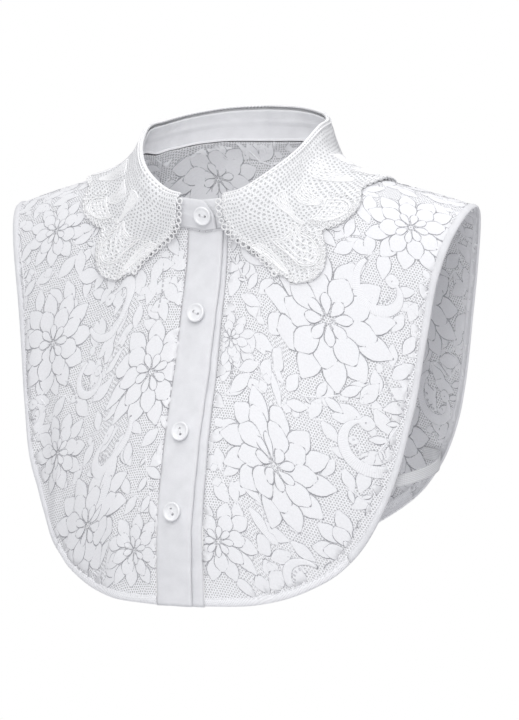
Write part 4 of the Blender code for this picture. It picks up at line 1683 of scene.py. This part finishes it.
def strap_rows(side, up):
    rows = []
    for part, back in ((STRAP_FRONT, False), (STRAP_SIDE, None), (STRAP_BACK, True)):
        for row in part:
            if back is None:
                point = np.array((side * row[0], row[1], row[2] + up))
            else:
                across = np.array([float(row[0])])
                reach = reach_of(across, row[1] + up, back)
                point = form_point(side * across, reach, back, row[2])[0][0]
            rows.append(point)
    return [(i / (len(rows) - 1), *point) for i, point in enumerate(rows)]


def strap(name, side):
    low, high = strap_rows(side, -STRAP_WIDTH / 2), strap_rows(side, STRAP_WIDTH / 2)

    def place(u, v):
        a = np.stack([table_at(low, u, column) for column in (1, 2, 3)], axis=-1)
        b = np.stack([table_at(high, u, column) for column in (1, 2, 3)], axis=-1)
        points = a + (b - a) * v[:, None]
        outs = np.stack([np.full_like(u, side), 0 * u, 0 * u], axis=-1)
        return points, outs, np.stack([u * 92, v * STRAP_WIDTH, 0 * v], axis=-1)

    item = cloth_sheet(name, 90, 6, place, 0.9, elastic_skin, 0.0)
    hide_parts(name.replace("elastic_", "side_"))
    return item


strap_left = strap("elastic_strap_left", 1)
strap_right = strap("elastic_strap_right", -1)


class Seams:
    """Rows of small stitches along lines of places."""

    def __init__(self):
        self.parts = ([], [], [], [])

    def row(self, points, outs, step=2.9):
        t = even_steps(points, step)
        grid = np.linspace(0, 1, len(points))
        spots = np.stack([np.interp(t, grid, points[:, i]) for i in range(3)], axis=-1)
        ahead = np.stack([np.interp(t + 0.002, grid, points[:, i]) for i in range(3)], axis=-1)
        before = np.stack([np.interp(t - 0.002, grid, points[:, i]) for i in range(3)], axis=-1)
        along = unit(ahead - before)
        out = unit(np.stack([np.interp(t, grid, outs[:, i]) for i in range(3)], axis=-1))
        side = unit(np.cross(out, along))
        for kept, found in zip(self.parts, (spots, along, side, np.cross(along, side))):
            kept.append(found)

    def finish(self, name):
        parts = (np.concatenate(part) for part in self.parts)
        return scatter(name, stitch_template(2.1, 0.42, 0.34), *parts, thread_skin, "cotton_poplin")


BINDING_STITCH_PLACE = 0.10
BINDING_STITCH_LIFT = 0.14
STAND_STITCH_HEIGHT = 0.09

seams = Seams()
for side, stop in ((1, LEFT_STOP), (-1, RIGHT_STOP)):
    u = np.linspace(0.01, 0.99, 400)
    points, outs, _ = binding_places(side, stop)(u, np.full_like(u, BINDING_STITCH_PLACE))
    seams.row(points + outs * BINDING_STITCH_LIFT, outs)
    share = np.linspace(CORNER_SHARE + 0.004, 0.995, 160)
    along = inner_edge(HEM_WIDTH + 0.2, share, False, side, stop)
    points, outs, _ = ray_level(share, along, False, side, stop, 1.25)
    seams.row(points, outs)
for side in (1, -1):
    share = np.linspace(BACK_CORNER_SHARE + 0.004, 1.0, 160)
    along = inner_edge(BACK_HEM_WIDTH, share, True, side, NO_STOP)
    points, outs, _ = ray_level(share, along, True, side, NO_STOP, 1.2)
    seams.row(points, outs)
turn = np.linspace(-6, 364, 900)
points = stand_place(
    turn,
    np.full_like(turn, STAND_STITCH_HEIGHT),
    1.45 + STAND_LAP_OUT * fade((turn - 318) / 34) + STAND_LAP_IN * (1 - fade((turn + 2) / 40))
)
outs = unit(points - np.array((0.0, STAND_MIDDLE, 0.0)))
seams.row(points, outs)
stitches = seams.finish("stitches")


# Studio


def area_light(name, place, aim, size, power, colour=(1.0, 1.0, 1.0)):
    data = bpy.data.lights.new(name, "AREA")
    data.size = size
    data.energy = power
    data.color = colour
    lamp = bpy.data.objects.new(name, data)
    lamp.location = place
    lamp.rotation_euler = (Vector(aim) - Vector(place)).to_track_quat("-Z", "Y").to_euler()
    bpy.context.scene.collection.objects.link(lamp)


area_light("overhead", (0.1, -0.3, 1.9), (0.0, 0.0, -0.1), 1.4, 10.0)
area_light("front", (0.42, -0.95, 0.5), (0.0, 0.0, 0.0), 0.9, 7.2)

sky = bpy.data.worlds.new("studio")
bpy.context.scene.world = sky
sky.use_nodes = True
sky_nodes, sky_links = sky.node_tree.nodes, sky.node_tree.links
plain = sky_nodes["Background"]
height = sky_nodes.new("ShaderNodeSeparateXYZ")
sky_links.new(sky_nodes.new("ShaderNodeTexCoord").outputs["Generated"], height.inputs[0])
up_down = math_node(sky_nodes, sky_links, "MULTIPLY_ADD", height.outputs["Z"], 0.5)
up_down.node.inputs[2].default_value = 0.5
shades = colour_ramp(sky_nodes, sky_links, up_down, (0.42, 0.43, 0.46), (1.0, 1.0, 1.02))
sky_links.new(shades, plain.inputs["Color"])
plain.inputs["Strength"].default_value = 0.68
seen = sky_nodes.new("ShaderNodeBackground")
seen.inputs["Color"].default_value = (1.0, 1.0, 1.0, 1.0)
seen.inputs["Strength"].default_value = 1.0
rays = sky_nodes.new("ShaderNodeLightPath")
both = sky_nodes.new("ShaderNodeMixShader")
sky_links.new(rays.outputs["Is Camera Ray"], both.inputs[0])
sky_links.new(plain.outputs[0], both.inputs[1])
sky_links.new(seen.outputs[0], both.inputs[2])
sky_links.new(both.outputs[0], sky_nodes["World Output"].inputs["Surface"])

floor_mesh = bpy.data.meshes.new("studio_floor")
floor_shape = bmesh.new()
bmesh.ops.create_circle(floor_shape, cap_ends=True, segments=96, radius=1.5)
bmesh.ops.translate(floor_shape, verts=floor_shape.verts, vec=(0, 0, -0.62))
floor_shape.to_mesh(floor_mesh)
floor_shape.free()
floor_skin, _, _, floor_shader = shader_of("pale_floor", 0.9)
floor_shader.inputs["Base Color"].default_value = (0.86, 0.86, 0.87, 1.0)
floor_mesh.materials.append(floor_skin)
studio_floor = bpy.data.objects.new("studio_floor", floor_mesh)
bpy.context.scene.collection.objects.link(studio_floor)

bpy.context.scene.view_settings.view_transform = "Standard"

azimuth, elevation, distance = math.radians(30), math.radians(2.5), 3.0
away = Vector(
    (math.sin(azimuth) * math.cos(elevation), -math.cos(azimuth) * math.cos(elevation), math.sin(elevation))
)
aim = Vector((0.0174, 0.0040, -0.1202))
camera_data = bpy.data.cameras.new("camera")
camera_data.sensor_fit = "HORIZONTAL"
camera_data.sensor_width = 36.0
camera_data.lens = 330.3
camera_data.clip_end = 50.0
camera = bpy.data.objects.new("camera", camera_data)
camera.location = aim + away * distance
camera.rotation_euler = (-away).to_track_quat("-Z", "Y").to_euler()
bpy.context.scene.collection.objects.link(camera)
bpy.context.scene.camera = camera
